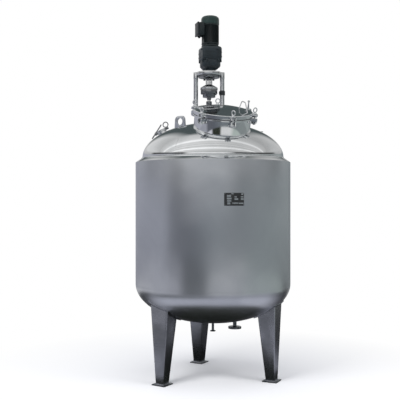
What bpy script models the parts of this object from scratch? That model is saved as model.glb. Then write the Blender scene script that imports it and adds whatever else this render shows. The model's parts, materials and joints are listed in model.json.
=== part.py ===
"""Jacketed stainless-steel mixing tank on three legs.

The origin is on the floor, on the vessel's upright centreline. +Z is up and
-Y is the side that the nameplate and the manhole face.
"""

from math import atan2, cos, degrees, pi, radians, sin, sqrt

import bmesh
import bpy
from mathutils import Matrix, Vector

# Gap between pieces that touch or are cut to each other.
GAP = 0.0003

# Segments round the big shells and round middling and small pieces.
SHELL_SEGMENTS = 48
NECK_SEGMENTS = 40
DRUM_SEGMENTS = 24
ROD_SEGMENTS = 12
RING_SEGMENTS = 14
RING_BAR_SEGMENTS = 6
HEAD_RINGS = 8
CROWN_RINGS = 3
CAP_RINGS = 4

# Vessel: a straight shell between two heads that are half as deep as wide.
VESSEL_RADIUS = 0.622
VESSEL_WALL = 0.006
VESSEL_HEAD_DEPTH = VESSEL_RADIUS / 2
TOP_HEAD_DEPTH = VESSEL_RADIUS / 2

# Jacket, the outer skin round the vessel, and its sloping shoulder.
JACKET_SPACE = 0.060
JACKET_WALL = 0.005
JACKET_BOTTOM = 0.820
JACKET_HEIGHT = 1.063
SHOULDER_RISE = 0.042
JACKET_RADIUS = VESSEL_RADIUS + JACKET_SPACE
JACKET_HEAD_DEPTH = JACKET_RADIUS / 2
JACKET_TOP = JACKET_BOTTOM + JACKET_HEIGHT
VESSEL_TOP = JACKET_TOP + SHOULDER_RISE
HEAD_POLE = VESSEL_TOP + TOP_HEAD_DEPTH
JACKET_LOWEST = JACKET_BOTTOM - JACKET_HEAD_DEPTH
VESSEL_LOWEST = JACKET_BOTTOM - VESSEL_HEAD_DEPTH

# Legs: azimuths are measured from the front (-Y), positive to the right.
LEGS = (("front_left", -53.0, -32.0), ("right", 68.0, -26.0), ("rear", 193.0, -30.0))
LEG_FOOT_INSET = 0.142
LEG_TOP_INSET = 0.167
LEG_FOOT_WIDTH = 0.083
LEG_TOP_WIDTH = 0.176
LEG_SINK = 0.120
LEG_EDGE_ROUND = 0.006
LEG_EDGE_STEPS = 2
FOOT_PLATE_WIDTH = 0.130
FOOT_PLATE_THICK = 0.009
LEG_PAD_WIDTH = 0.205
LEG_PAD_THICK = 0.008
LEG_FOOT_CIRCLE = JACKET_RADIUS - LEG_FOOT_INSET
LEG_TOP_CIRCLE = JACKET_RADIUS - LEG_TOP_INSET
LEG_TAPER_HEIGHT = JACKET_BOTTOM - LEG_SINK

# Manhole, square to the upper head's surface.
MANHOLE_AZIMUTH = 12.3
MANHOLE_OFFSET = 0.337
MANHOLE_RADIUS = 0.238
MANHOLE_WALL = 0.006
MANHOLE_HEIGHT = 0.085
FLANGE_WIDTH = 0.012
FLANGE_THICK = 0.012
FLANGE_RADIUS = MANHOLE_RADIUS + FLANGE_WIDTH
GASKET_THICK = 0.004
GASKET_WIDTH = 0.011
COVER_INSET = 0.001
COVER_RADIUS = FLANGE_RADIUS - COVER_INSET
COVER_RIM = 0.034
COVER_WALL = 0.008
COVER_CROWN = 0.034
COVER_ROUND = 0.006

# Swing bolts round the manhole, and the forks that they stand in. The hinge
# takes one place of the ring.
RING_ANGLES = (-26.0, 27.0, 87.0, 140.0, 216.0, 274.0)
HINGE_PLACE = 1
BOLT_OFFSET = 0.019
BOLT_CIRCLE = FLANGE_RADIUS + BOLT_OFFSET
BOLT_RADIUS = 0.0070
BOLT_EYE_RADIUS = 0.014
BOLT_EYE_WIDTH = 0.016
BOLT_PIN_RADIUS = 0.0060
BOLT_PIN_DROP = 0.040
LUG_REACH = 0.022
LUG_PLATE_THICK = 0.010
LUG_PLATE_HEIGHT = 0.046
FORK_WIDTH = 0.054
FORK_SLOT = 0.026
FORK_THICK = 0.022
NUT_RADIUS = 0.017
NUT_HEIGHT = 0.018
RING_RADIUS = 0.0185
RING_ROD = 0.0048
RING_TURNS = (50.0, 0.0, 80.0, 28.0, 75.0, 30.0)

# Cover hinge.
HINGE_ANGLE = RING_ANGLES[HINGE_PLACE]
HINGE_OFFSET = 0.038
HINGE_CIRCLE = COVER_RADIUS + HINGE_OFFSET
HINGE_PIN_RADIUS = 0.007
HINGE_EAR_THICK = 0.009
HINGE_FOOT_THICK = 0.0072
HINGE_FOOT_HEIGHT = 0.009
HINGE_ARM_WIDTH = 0.026
HINGE_ARM_THICK = 0.020
HINGE_EYE_RADIUS = 0.016
HINGE_PLAY = 0.0015
HINGE_PIN_END = 0.0055
HINGE_PIN_LENGTH = HINGE_ARM_WIDTH + 2 * (HINGE_PLAY + HINGE_EAR_THICK + HINGE_PIN_END)
COVER_CLEARANCE = 0.010
KNOB_HEIGHT = 0.062
KNOB_RADIUS = 0.0100
KNOB_FOOT_RADIUS = 0.0105
KNOB_NECK_RADIUS = 0.0060
KNOB_SHIFT = 0.004

# Lifting handle of the cover.
HANDLE_ROD = 0.0042
HANDLE_SPAN = 0.140
HANDLE_TOP_SPAN = 0.060
HANDLE_HEIGHT = 0.070
HANDLE_CORNER = 0.014
HANDLE_ROOT = 0.050
HANDLE_SINK = 0.0190
HANDLE_INSET = 0.084
HANDLE_OFFSET = COVER_RADIUS - HANDLE_INSET
HANDLE_ANGLE = -19.0
HANDLE_YAW = -76.0

# Agitator drive over the head.
DRIVE_X = -0.033
DRIVE_Y = 0.090
DRIVE_NECK_RADIUS = 0.100
DRIVE_NECK_WALL = 0.006
DRIVE_FLANGE_RADIUS = 0.150
DRIVE_FLANGE_THICK = 0.030
DRIVE_FLANGE_RISE = 0.129
DRIVE_FLANGE_TOP = HEAD_POLE + DRIVE_FLANGE_RISE
POST_RADIUS = 0.0215
POST_SPACING = 0.237
POST_HEIGHT = 0.285
POST_CHAMFER = 0.005
TOP_PLATE_RADIUS = 0.110
TOP_PLATE_THICK = 0.050
TOP_PLATE_RIM = 0.012
TOP_PLATE_BOSS_RADIUS = 0.095
TOP_PLATE_BORE = 0.045
TOP_PLATE_TOP = DRIVE_FLANGE_TOP + POST_HEIGHT + TOP_PLATE_THICK
SHAFT_RADIUS = 0.0145
SHAFT_CLEARANCE = 0.0015
FLANGE_BORE_CLEARANCE = 0.0115
SEAL_RADIUS = 0.050
SEAL_FOOT_THICK = 0.020
SEAL_NOSE_RADIUS = 0.026
SEAL_HEIGHT = 0.074
SEAL_TOP = DRIVE_FLANGE_TOP + SEAL_HEIGHT

# Shaft coupling under the top plate.
COUPLING_RISE = 0.036
HALF_LOWER_RADIUS = 0.075
HALF_LOWER_THICK = 0.037
HALF_LOWER_NOSE_RADIUS = 0.057
HALF_LOWER_NOSE_THICK = 0.030
LOWER_HUB_RADIUS = 0.022
LOWER_HUB_FOOT = 0.017
LOWER_HUB_THICK = 0.024
HALF_UPPER_RADIUS = 0.0785
HALF_UPPER_RIM = 0.018
HALF_UPPER_THICK = 0.046
HUB_RADIUS = 0.030
HUB_THICK = 0.038
HUB_CHAMFER = 0.002
OUTPUT_RADIUS = 0.027
HALF_LOWER_BOTTOM = SEAL_TOP + COUPLING_RISE
HALF_LOWER_NOSE = HALF_LOWER_BOTTOM + HALF_LOWER_NOSE_THICK
LOWER_HUB_BOTTOM = HALF_LOWER_BOTTOM - LOWER_HUB_THICK
HALF_SPLIT = HALF_LOWER_NOSE + HALF_LOWER_THICK
HALF_UPPER_TOP = HALF_SPLIT + HALF_UPPER_THICK
HUB_TOP = HALF_UPPER_TOP + HUB_THICK

# Gearbox and motor, beside the shaft's line and turned a little.
GEAR_YAW = 15.0
GEAR_OFFSET = 0.010
GEARBOX_BOTTOM_WIDTH = 0.164
GEARBOX_TOP_WIDTH = 0.178
GEARBOX_NECK_RADIUS = 0.055
GEARBOX_NECK = 0.020
GEARBOX_LOWER_HEIGHT = 0.112
GEARBOX_UPPER_HEIGHT = 0.093
GEARBOX_RIM = 0.034
GEARBOX_CHAMFER = 0.030
GEARBOX_CROWN_ROUND = 0.024
GEARBOX_CROWN_STEPS = 2
GEARBOX_SPLIT = TOP_PLATE_TOP + GEARBOX_NECK + GEARBOX_LOWER_HEIGHT
GEARBOX_TOP = GEARBOX_SPLIT + GEARBOX_UPPER_HEIGHT
MOTOR_RADIUS = 0.079
MOTOR_LENGTH = 0.200
MOTOR_TOP = GEARBOX_TOP + MOTOR_LENGTH
COWL_LIP = 0.002
COWL_RADIUS = MOTOR_RADIUS + COWL_LIP
COWL_LENGTH = 0.075
COWL_TOP = MOTOR_TOP + COWL_LENGTH
COWL_ROUND = 0.030
TERMINAL_WIDTH = 0.100
TERMINAL_HEIGHT = 0.115
TERMINAL_DEPTH = 0.038
TERMINAL_RISE = 0.012
TERMINAL_TOP = MOTOR_TOP + TERMINAL_RISE
TERMINAL_BOTTOM = TERMINAL_TOP - TERMINAL_HEIGHT
TERMINAL_LID = 0.012
TERMINAL_LID_LIP = 0.003
TERMINAL_PAD = 0.010

# Impeller on the foot of the shaft.
IMPELLER_RISE = 0.131
SHAFT_BOTTOM = VESSEL_LOWEST + IMPELLER_RISE
IMPELLER_RADIUS = 0.250
IMPELLER_HUB_RADIUS = 0.034
IMPELLER_HUB_HEIGHT = 0.080
IMPELLER_BLADES = 4
BLADE_WIDTH = 0.080
BLADE_THICK = 0.008
BLADE_PITCH = 45.0

# Lifting eyes on the head.
EYES = (("left", -86.0, -40.0), ("right", 110.0, 25.0))
EYE_CIRCLE = 0.290
EYE_BASE_WIDTH = 0.140
EYE_TOP_WIDTH = 0.114
EYE_CORNER = 0.036
EYE_RISE = 0.096
EYE_THICK = 0.012
EYE_HOLE = 0.030
EYE_HOLE_DROP = 0.049
EYE_BURY = 0.080
EYE_CORNER_STEPS = 5
EYE_HOLE_STEPS = 20

# Charging port on the left of the head.
PORT_AZIMUTH = -101.0
PORT_INSET = 0.172
PORT_OFFSET = VESSEL_RADIUS - PORT_INSET
PORT_RADIUS = 0.040
PORT_WALL = 0.003
PORT_HEIGHT = 0.034
PORT_LIP = 0.007
PORT_RIM_RADIUS = PORT_RADIUS + PORT_LIP
PORT_RIM_THICK = 0.008
PORT_CAP_THICK = 0.010
PORT_CAP_CROWN = 0.008
CLAMP_REACH = 0.022
CLAMP_WIDTH = 0.024
CLAMP_ROD = 0.0045
CLAMP_ROD_HEIGHT = 0.015
CLAMP_RING_RADIUS = 0.023
CLAMP_RING_ROD = 0.0045
LEVER_ROD = 0.0055
LEVER_LIFT = 0.0100
LEVER_UP = 0.0945
LEVER_DOWN = 0.059
LEVER_TILT = -61.4
LEVER_RING_TURN = 20.0

# Vent nozzle on the right of the head.
VENT_AZIMUTH = 97.0
VENT_INSET = 0.194
VENT_OFFSET = VESSEL_RADIUS - VENT_INSET
VENT_RADIUS = 0.0135
VENT_WALL = 0.0025
VENT_FLANGE_RADIUS = 0.026
VENT_FLANGE_THICK = 0.010
VENT_RISE = 0.0155

# Bottom drain and outlet.
DRAIN_RADIUS = 0.011
DRAIN_WALL = 0.002
DRAIN_FLANGE_RADIUS = 0.024
DRAIN_FLANGE_THICK = 0.008
DRAIN_DROP = 0.087
DRAIN_BOTTOM = JACKET_LOWEST - DRAIN_DROP
OUTLET_X = 0.194
OUTLET_RADIUS = 0.0165
OUTLET_WALL = 0.0025
OUTLET_FLANGE_RADIUS = 0.058
OUTLET_FLANGE_THICK = 0.018
OUTLET_DROP = 0.062
OUTLET_BOTTOM = JACKET_LOWEST - OUTLET_DROP

# Nameplate on the jacket.
PLATE_AZIMUTH = 13.4
PLATE_WIDTH = 0.164
PLATE_HEIGHT = 0.103
PLATE_DROP = 0.323
PLATE_CENTRE = JACKET_TOP - PLATE_DROP
PLATE_THICK = 0.002

# How deep a pipe or plate that is cut to the head starts below its surface.
ROOT_DEPTH = 0.050
MANHOLE_ROOT = 0.120

# Overlap that makes a union or a cut sure.
BURY = 0.004


def clear_scene():
    for item in list(bpy.data.objects):
        bpy.data.objects.remove(item, do_unlink=True)


def new_collection(name):
    collection = bpy.data.collections.new(name)
    bpy.context.scene.collection.children.link(collection)
    return collection


def new_material(name, colour, roughness, metallic):
    material = bpy.data.materials.new(name)
    material.use_nodes = True
    shader = material.node_tree.nodes["Principled BSDF"]
    shader.inputs["Base Color"].default_value = (*colour, 1.0)
    shader.inputs["Roughness"].default_value = roughness
    shader.inputs["Metallic"].default_value = metallic
    return material


clear_scene()
TANK = new_collection("mixing_tank")
CUTTERS = new_collection("cutters")

SATIN = new_material("satin_steel", (0.36, 0.38, 0.42), 0.38, 1.0)
POLISHED = new_material("polished_steel", (0.62, 0.64, 0.66), 0.12, 1.0)
BRIGHT = new_material("turned_steel", (0.55, 0.56, 0.58), 0.22, 1.0)
GREEN = new_material("motor_paint", (0.012, 0.028, 0.028), 0.35, 0.0)
SLATE = new_material("gearbox_paint", (0.030, 0.045, 0.058), 0.45, 0.0)
LID_GREY = new_material("lid_paint", (0.20, 0.22, 0.24), 0.50, 0.0)
DARK = new_material("dark_cast", (0.020, 0.022, 0.024), 0.50, 0.3)
RUBBER = new_material("seal_rubber", (0.012, 0.012, 0.012), 0.70, 0.0)
PLATE_BLACK = new_material("plate_black", (0.008, 0.008, 0.009), 0.40, 0.0)


def polar(azimuth, radius):
    """Plan point at a radius; the azimuth starts at -Y and grows to the right."""
    angle = radians(azimuth)
    return radius * sin(angle), -radius * cos(angle)


def add_object(name, mesh, material, collection=TANK):
    item = bpy.data.objects.new(name, mesh)
    collection.objects.link(item)
    if material:
        mesh.materials.clear()
        mesh.materials.append(material)
    return item


def as_cutter(item):
    item.hide_render = True
    item.display_type = "WIRE"
    return item


def place(item, location=(0, 0, 0), rotation=(0, 0, 0), parent=None):
    item.location = location
    item.rotation_euler = rotation
    item.parent = parent
    return item


def lathe(name, profile, segments, material, collection=TANK, closed=False):
    """Turn an (r, z) profile about Z; it runs down the outer side first."""
    mesh = bpy.data.meshes.new(name)
    shape = bmesh.new()
    verts = [shape.verts.new((r, 0.0, z)) for r, z in profile]
    for first, second in zip(verts, verts[1:]):
        shape.edges.new((first, second))
    if closed:
        shape.edges.new((verts[-1], verts[0]))
    shape.to_mesh(mesh)
    shape.free()
    item = add_object(name, mesh, material, collection)
    turn = item.modifiers.new("turn", "SCREW")
    turn.angle = 2 * pi
    turn.steps = segments
    turn.render_steps = segments
    turn.use_merge_vertices = True
    turn.merge_threshold = 0.00001
    turn.use_smooth_shade = True
    return item


def tube(name, outer, inner, bottom, top, segments, material, collection=TANK):
    profile = [(outer, top), (outer, bottom), (inner, bottom), (inner, top)]
    return lathe(name, profile, segments, material, collection, closed=True)


def disc(name, radius, bottom, top, segments, material, collection=TANK):
    profile = [(0.0, top), (radius, top), (radius, bottom), (0.0, bottom)]
    return lathe(name, profile, segments, material, collection)


def box(name, size, centre, material, collection=TANK):
    mesh = bpy.data.meshes.new(name)
    shape = bmesh.new()
    bmesh.ops.create_cube(shape, size=1.0, matrix=Matrix.Translation(centre) @ Matrix.Diagonal((*size, 1.0)))
    shape.to_mesh(mesh)
    shape.free()
    return add_object(name, mesh, material, collection)


def add_box(shape, size, matrix):
    bmesh.ops.create_cube(shape, size=1.0, matrix=matrix @ Matrix.Diagonal((*size, 1.0)))


def add_rod(shape, radius, length, matrix, segments=ROD_SEGMENTS):
    bmesh.ops.create_cone(shape, cap_ends=True, segments=segments, radius1=radius,
                          radius2=radius, depth=length, matrix=matrix)


def from_shape(name, shape, material, collection=TANK):
    mesh = bpy.data.meshes.new(name)
    shape.to_mesh(mesh)
    shape.free()
    return add_object(name, mesh, material, collection)


def ring_cutter(name, radius, rod):
    """A ring of round bar, flat on XY, for a union."""
    bpy.ops.mesh.primitive_torus_add(major_segments=RING_SEGMENTS, minor_segments=RING_BAR_SEGMENTS,
                                     major_radius=radius, minor_radius=rod)
    ring = bpy.context.object
    ring.name = name
    for owner in list(ring.users_collection):
        owner.objects.unlink(ring)
    CUTTERS.objects.link(ring)
    return as_cutter(ring)


def combine(item, other, operation):
    change = item.modifiers.new(other.name, "BOOLEAN")
    change.operation = operation
    change.solver = "EXACT"
    change.object = other


def cut(item, *cutters):
    for cutter in cutters:
        combine(item, cutter, "DIFFERENCE")


def ellipse_arc(radius, depth, rim, rings=HEAD_RINGS, side=1):
    """(r, z) points of a head's curve, from its pole to its rim."""
    points = []
    for step in range(rings + 1):
        angle = pi / 2 * (1 - step / rings)
        points.append((radius * cos(angle) if step else 0.0, rim + side * depth * sin(angle)))
    return points


def head_height(x, y, radius=VESSEL_RADIUS, depth=TOP_HEAD_DEPTH, rim=VESSEL_TOP):
    share = (x * x + y * y) / radius ** 2
    return rim + depth * sqrt(1.0 - share)


def head_tilt(offset, radius=VESSEL_RADIUS, depth=TOP_HEAD_DEPTH):
    """Angle of the head's surface from level, at an offset from its centre."""
    slope = depth * offset / (radius ** 2 * sqrt(1.0 - (offset / radius) ** 2))
    return degrees(atan2(slope, 1.0))


def head_cutter(name, clearance):
    """The upper head's whole volume, grown by a clearance."""
    profile = ellipse_arc(VESSEL_RADIUS + clearance, TOP_HEAD_DEPTH + clearance, VESSEL_TOP)
    profile += [(VESSEL_RADIUS + clearance, JACKET_BOTTOM), (0.0, JACKET_BOTTOM)]
    return as_cutter(lathe(name, profile, SHELL_SEGMENTS, None, CUTTERS))


def jacket_cutter(name, clearance):
    """The jacket's lower volume, grown by a clearance."""
    lower = ellipse_arc(JACKET_RADIUS + clearance, JACKET_HEAD_DEPTH + clearance, JACKET_BOTTOM, side=-1)
    profile = [(0.0, JACKET_TOP), (JACKET_RADIUS + clearance, JACKET_TOP)] + lower[::-1]
    return as_cutter(lathe(name, profile, SHELL_SEGMENTS, None, CUTTERS))


def empty(name, location, rotation=(0, 0, 0), parent=None):
    item = bpy.data.objects.new(name, None)
    item.empty_display_size = 0.1
    TANK.objects.link(item)
    return place(item, location, rotation, parent)


def head_frame(name, azimuth, offset):
    """Empty on the upper head, its Z square to the surface and its -Y downhill."""
    x, y = polar(azimuth, offset)
    return empty(name, (x, y, head_height(x, y)), (radians(head_tilt(offset)), 0, radians(azimuth)))


DOME_FACE = head_cutter("dome_face", GAP)
JACKET_FACE = jacket_cutter("jacket_face", GAP)


def through_cutter(name, radius, bottom, top, segments, frame=None, location=(0, 0, 0)):
    item = as_cutter(disc(name, radius, bottom, top, segments, None, CUTTERS))
    return place(item, location, parent=frame)


# Frames on the head for the pieces that stand square to it.
MANHOLE = head_frame("manhole_frame", MANHOLE_AZIMUTH, MANHOLE_OFFSET)
PORT = head_frame("port_frame", PORT_AZIMUTH, PORT_OFFSET)
VENT_X, VENT_Y = polar(VENT_AZIMUTH, VENT_OFFSET)
COVER_SEAT = MANHOLE_HEIGHT + GASKET_THICK + GAP
FORK_MIDDLE = COVER_SEAT + COVER_RIM / 2
FORK_TOP = FORK_MIDDLE + FORK_THICK / 2
GEAR_FRAME = empty("gear_frame", (DRIVE_X + GEAR_OFFSET, DRIVE_Y, 0), (0, 0, radians(GEAR_YAW)))
VENT_TOP = head_height(VENT_X, VENT_Y) + VENT_RISE


def make_jacket():
    tube("jacket_shell", JACKET_RADIUS, JACKET_RADIUS - JACKET_WALL, JACKET_BOTTOM + GAP,
         JACKET_TOP - GAP, SHELL_SEGMENTS, SATIN)
    outer = ellipse_arc(JACKET_RADIUS, JACKET_HEAD_DEPTH, JACKET_BOTTOM, side=-1)
    inner = ellipse_arc(JACKET_RADIUS - JACKET_WALL, JACKET_HEAD_DEPTH - JACKET_WALL, JACKET_BOTTOM,
                        side=-1)
    head = lathe("jacket_head", inner + outer[::-1], SHELL_SEGMENTS, SATIN)
    cut(head, DRAIN_HOLE, OUTLET_HOLE)
    top_inner = VESSEL_RADIUS + GAP
    shoulder = [(top_inner, VESSEL_TOP), (JACKET_RADIUS, JACKET_TOP),
                (JACKET_RADIUS - JACKET_WALL, JACKET_TOP), (top_inner, VESSEL_TOP - JACKET_WALL)]
    lathe("jacket_shoulder", shoulder, SHELL_SEGMENTS, POLISHED, closed=True)


def make_vessel():
    tube("vessel_shell", VESSEL_RADIUS, VESSEL_RADIUS - VESSEL_WALL, JACKET_BOTTOM + GAP,
         VESSEL_TOP - GAP, SHELL_SEGMENTS, POLISHED)
    outer = ellipse_arc(VESSEL_RADIUS, VESSEL_HEAD_DEPTH, JACKET_BOTTOM, side=-1)
    inner = ellipse_arc(VESSEL_RADIUS - VESSEL_WALL, VESSEL_HEAD_DEPTH - VESSEL_WALL, JACKET_BOTTOM,
                        side=-1)
    bottom = lathe("vessel_bottom", inner + outer[::-1], SHELL_SEGMENTS, POLISHED)
    cut(bottom, DRAIN_HOLE, OUTLET_HOLE)
    outer = ellipse_arc(VESSEL_RADIUS, TOP_HEAD_DEPTH, VESSEL_TOP)
    inner = ellipse_arc(VESSEL_RADIUS - VESSEL_WALL, TOP_HEAD_DEPTH - VESSEL_WALL, VESSEL_TOP)
    head = lathe("top_head", outer + inner[::-1], SHELL_SEGMENTS, POLISHED)
    cut(head, MANHOLE_HOLE, DRIVE_HOLE, PORT_HOLE, VENT_HOLE)


def make_legs():
    outer = jacket_cutter("pad_outside", GAP + LEG_PAD_THICK)
    top = LEG_TAPER_HEIGHT
    for name, azimuth, yaw in LEGS:
        foot = Vector((*polar(azimuth, LEG_FOOT_CIRCLE), 0.0))
        head = Vector((*polar(azimuth, LEG_TOP_CIRCLE), 0.0))
        box_plate = box("foot_plate_" + name, (FOOT_PLATE_WIDTH, FOOT_PLATE_WIDTH, FOOT_PLATE_THICK),
                        (0, 0, FOOT_PLATE_THICK / 2), SATIN)
        place(box_plate, foot, (0, 0, radians(yaw)))
        shape = bmesh.new()
        bottom = FOOT_PLATE_THICK + GAP
        bmesh.ops.create_cube(shape, size=1.0)
        lean = Matrix.Rotation(radians(-yaw), 3, "Z") @ (head - foot)
        for vert in shape.verts:
            high = vert.co.z > 0
            width = LEG_TOP_WIDTH if high else LEG_FOOT_WIDTH
            vert.co = Vector((vert.co.x * width, vert.co.y * width, top if high else bottom))
            if high:
                vert.co += lean
        uprights = [edge for edge in shape.edges if abs(edge.verts[0].co.z - edge.verts[1].co.z) > top / 2]
        bmesh.ops.bevel(shape, geom=uprights, offset=LEG_EDGE_ROUND, segments=LEG_EDGE_STEPS,
                        profile=0.5, affect="EDGES")
        leg = from_shape("leg_" + name, shape, SATIN)
        place(leg, foot, (0, 0, radians(yaw)))
        pad = box("leg_pad_" + name, (LEG_PAD_WIDTH, LEG_PAD_WIDTH, top), (0, 0, top), None, CUTTERS)
        place(as_cutter(pad), head, (0, 0, radians(yaw)))
        combine(pad, outer, "INTERSECT")
        combine(leg, pad, "UNION")
        cut(leg, JACKET_FACE)


def bolt_places():
    """(place, angle) of each swing bolt in the ring."""
    return [(place, radians(angle)) for place, angle in enumerate(RING_ANGLES) if place != HINGE_PLACE]


def around(angle, radius, height):
    """Matrix at a point round the manhole, its X outward and its Z up the neck."""
    return Matrix.Rotation(angle, 4, "Z") @ Matrix.Translation((radius, 0, height))


def make_manhole_neck():
    neck = tube("manhole_neck", MANHOLE_RADIUS, MANHOLE_RADIUS - MANHOLE_WALL, -MANHOLE_ROOT,
                MANHOLE_HEIGHT - GAP, NECK_SEGMENTS, POLISHED)
    place(neck, parent=MANHOLE)
    cut(neck, DOME_FACE)

    flange = tube("manhole_flange", FLANGE_RADIUS, MANHOLE_RADIUS + GAP, MANHOLE_HEIGHT - FLANGE_THICK,
                  MANHOLE_HEIGHT - GAP, NECK_SEGMENTS, POLISHED)
    place(flange, parent=MANHOLE)
    plates = bmesh.new()
    pins = bmesh.new()
    inner = MANHOLE_RADIUS + 3 * GAP
    outer = BOLT_CIRCLE + LUG_REACH
    top = MANHOLE_HEIGHT - FLANGE_THICK / 3
    spread = FORK_SLOT / 2 + LUG_PLATE_THICK / 2
    pin_height = MANHOLE_HEIGHT - BOLT_PIN_DROP
    for _, angle in bolt_places():
        for side in (-1, 1):
            centre = around(angle, (inner + outer) / 2, top - LUG_PLATE_HEIGHT / 2)
            add_box(plates, (outer - inner, LUG_PLATE_THICK, LUG_PLATE_HEIGHT),
                    centre @ Matrix.Translation((0, side * spread, 0)))
        across = Matrix.Rotation(pi / 2, 4, "X")
        add_rod(pins, BOLT_PIN_RADIUS, FORK_SLOT + 2 * LUG_PLATE_THICK + BURY,
                around(angle, BOLT_CIRCLE, pin_height) @ across, ROD_SEGMENTS)
    feet = bmesh.new()
    ears = bmesh.new()
    hinge = radians(HINGE_ANGLE)
    ear_start = COVER_RADIUS + COVER_CLEARANCE
    ear_end = HINGE_CIRCLE + HINGE_EYE_RADIUS
    ear_top = FORK_MIDDLE + HINGE_EYE_RADIUS
    ear_bottom = MANHOLE_HEIGHT - 2 * FLANGE_THICK
    ear_spread = (HINGE_ARM_WIDTH + HINGE_EAR_THICK) / 2 + HINGE_PLAY
    foot_end = ear_end - HINGE_EYE_RADIUS / 2
    for side in (-1, 1):
        shift = Matrix.Translation((0, side * ear_spread, 0))
        add_box(feet, (foot_end - inner, HINGE_FOOT_THICK, HINGE_FOOT_HEIGHT),
                around(hinge, (inner + foot_end) / 2, MANHOLE_HEIGHT - FLANGE_THICK / 2) @ shift)
        add_box(ears, (ear_end - ear_start, HINGE_EAR_THICK, ear_top - ear_bottom),
                around(hinge, (ear_start + ear_end) / 2, (ear_top + ear_bottom) / 2) @ shift)
    joined = (("lug_plates", plates), ("lug_pins", pins), ("ear_feet", feet), ("hinge_ears", ears))
    for name, shape in joined:
        item = as_cutter(from_shape(name, shape, None, CUTTERS))
        place(item, parent=MANHOLE)
        combine(flange, item, "UNION")
    pin_hole = bmesh.new()
    add_rod(pin_hole, HINGE_PIN_RADIUS + GAP, 2 * HINGE_PIN_LENGTH,
            around(radians(HINGE_ANGLE), HINGE_CIRCLE, FORK_MIDDLE) @ Matrix.Rotation(pi / 2, 4, "X"))
    hole = as_cutter(from_shape("hinge_pin_hole", pin_hole, None, CUTTERS))
    place(hole, parent=MANHOLE)
    cut(flange, hole)

    gasket_outer = MANHOLE_RADIUS + GASKET_WIDTH / 2
    gasket = tube("manhole_gasket", gasket_outer, gasket_outer - GASKET_WIDTH, MANHOLE_HEIGHT,
                  MANHOLE_HEIGHT + GASKET_THICK, NECK_SEGMENTS, RUBBER)
    place(gasket, parent=MANHOLE)


def make_swing_bolts():
    pin_height = MANHOLE_HEIGHT - BOLT_PIN_DROP
    for number, (_, angle) in enumerate(bolt_places(), 1):
        spot = (BOLT_CIRCLE * cos(angle), BOLT_CIRCLE * sin(angle), pin_height)
        frame = empty(f"swing_bolt_{number}_frame", spot, (0, 0, angle), MANHOLE)
        shape = bmesh.new()
        across = Matrix.Rotation(pi / 2, 4, "X")
        add_rod(shape, BOLT_EYE_RADIUS, BOLT_EYE_WIDTH, across, ROD_SEGMENTS)
        bolt = from_shape(f"swing_bolt_{number}", shape, BRIGHT)
        place(bolt, parent=frame)
        shank_top = FORK_TOP - BURY - pin_height - GAP
        shank_bottom = BOLT_EYE_RADIUS - BURY
        shank = disc(f"shank_{number}", BOLT_RADIUS, shank_bottom, shank_top, ROD_SEGMENTS, None, CUTTERS)
        place(as_cutter(shank), parent=frame)
        combine(bolt, shank, "UNION")
        hole_shape = bmesh.new()
        add_rod(hole_shape, BOLT_PIN_RADIUS + GAP, 2 * BOLT_EYE_WIDTH, across, ROD_SEGMENTS)
        hole = as_cutter(from_shape(f"bolt_hole_{number}", hole_shape, None, CUTTERS))
        place(hole, parent=frame)
        cut(bolt, hole)


def cover_place(height=0.0):
    """Where a manhole point lies as seen from the cover's hinge frame."""
    angle = radians(HINGE_ANGLE)
    return -HINGE_CIRCLE * cos(angle), -HINGE_CIRCLE * sin(angle), height - FORK_MIDDLE


def crown_arc(edge, height):
    """(r, z) points of the cover's crown, from its middle to its edge."""
    shares = [step / CROWN_RINGS for step in range(CROWN_RINGS + 1)]
    return [(share * edge, height + COVER_CROWN * (1 - share ** 2)) for share in shares]


def make_cover(hinge):
    rim_top = COVER_SEAT + COVER_RIM
    inner = COVER_RADIUS - 2 * COVER_WALL
    edge = COVER_RADIUS - COVER_ROUND
    profile = crown_arc(edge, rim_top)
    profile += [(COVER_RADIUS, rim_top - COVER_ROUND), (COVER_RADIUS, COVER_SEAT), (inner, COVER_SEAT)]
    profile += crown_arc(inner, rim_top - COVER_WALL)[::-1]
    cover = lathe("manhole_cover", profile, NECK_SEGMENTS, POLISHED)
    place(cover, cover_place(), parent=hinge)
    lugs = bmesh.new()
    slots = bmesh.new()
    reach = BOLT_CIRCLE + LUG_REACH
    start = COVER_RADIUS - COVER_ROUND
    for _, angle in bolt_places():
        add_box(lugs, (reach - start, FORK_WIDTH, FORK_THICK),
                around(angle, (reach + start) / 2, FORK_MIDDLE))
        add_box(slots, (2 * LUG_REACH, FORK_SLOT, 2 * FORK_THICK),
                around(angle, BOLT_CIRCLE - FORK_SLOT / 2 + LUG_REACH, FORK_MIDDLE))
    for name, shape, operation in (("fork_blocks", lugs, "UNION"), ("fork_slots", slots, "DIFFERENCE")):
        item = as_cutter(from_shape(name, shape, None, CUTTERS))
        place(item, cover_place(), parent=hinge)
        combine(cover, item, operation)
    return cover


def add_eye_nuts(cover, hinge):
    """Eye nuts, screwed down on the cover's forks."""
    for place_number, angle in bolt_places():
        x, y, z = cover_place(FORK_TOP)
        x += BOLT_CIRCLE * cos(angle)
        y += BOLT_CIRCLE * sin(angle)
        shape = bmesh.new()
        height = NUT_HEIGHT + BURY
        add_rod(shape, NUT_RADIUS, height, Matrix.Translation((0, 0, NUT_HEIGHT - height / 2)))
        nut = as_cutter(from_shape(f"eye_nut_{place_number}", shape, None, CUTTERS))
        place(nut, (x, y, z), (0, 0, angle), hinge)
        ring = ring_cutter(f"nut_ring_{place_number}", RING_RADIUS, RING_ROD)
        turn = Matrix.Rotation(radians(RING_TURNS[place_number]), 4, "Z") @ Matrix.Rotation(pi / 2, 4, "X")
        place(ring, (x, y, z + NUT_HEIGHT + RING_RADIUS), turn.to_euler(), hinge)
        combine(cover, nut, "UNION")
        combine(cover, ring, "UNION")


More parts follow.
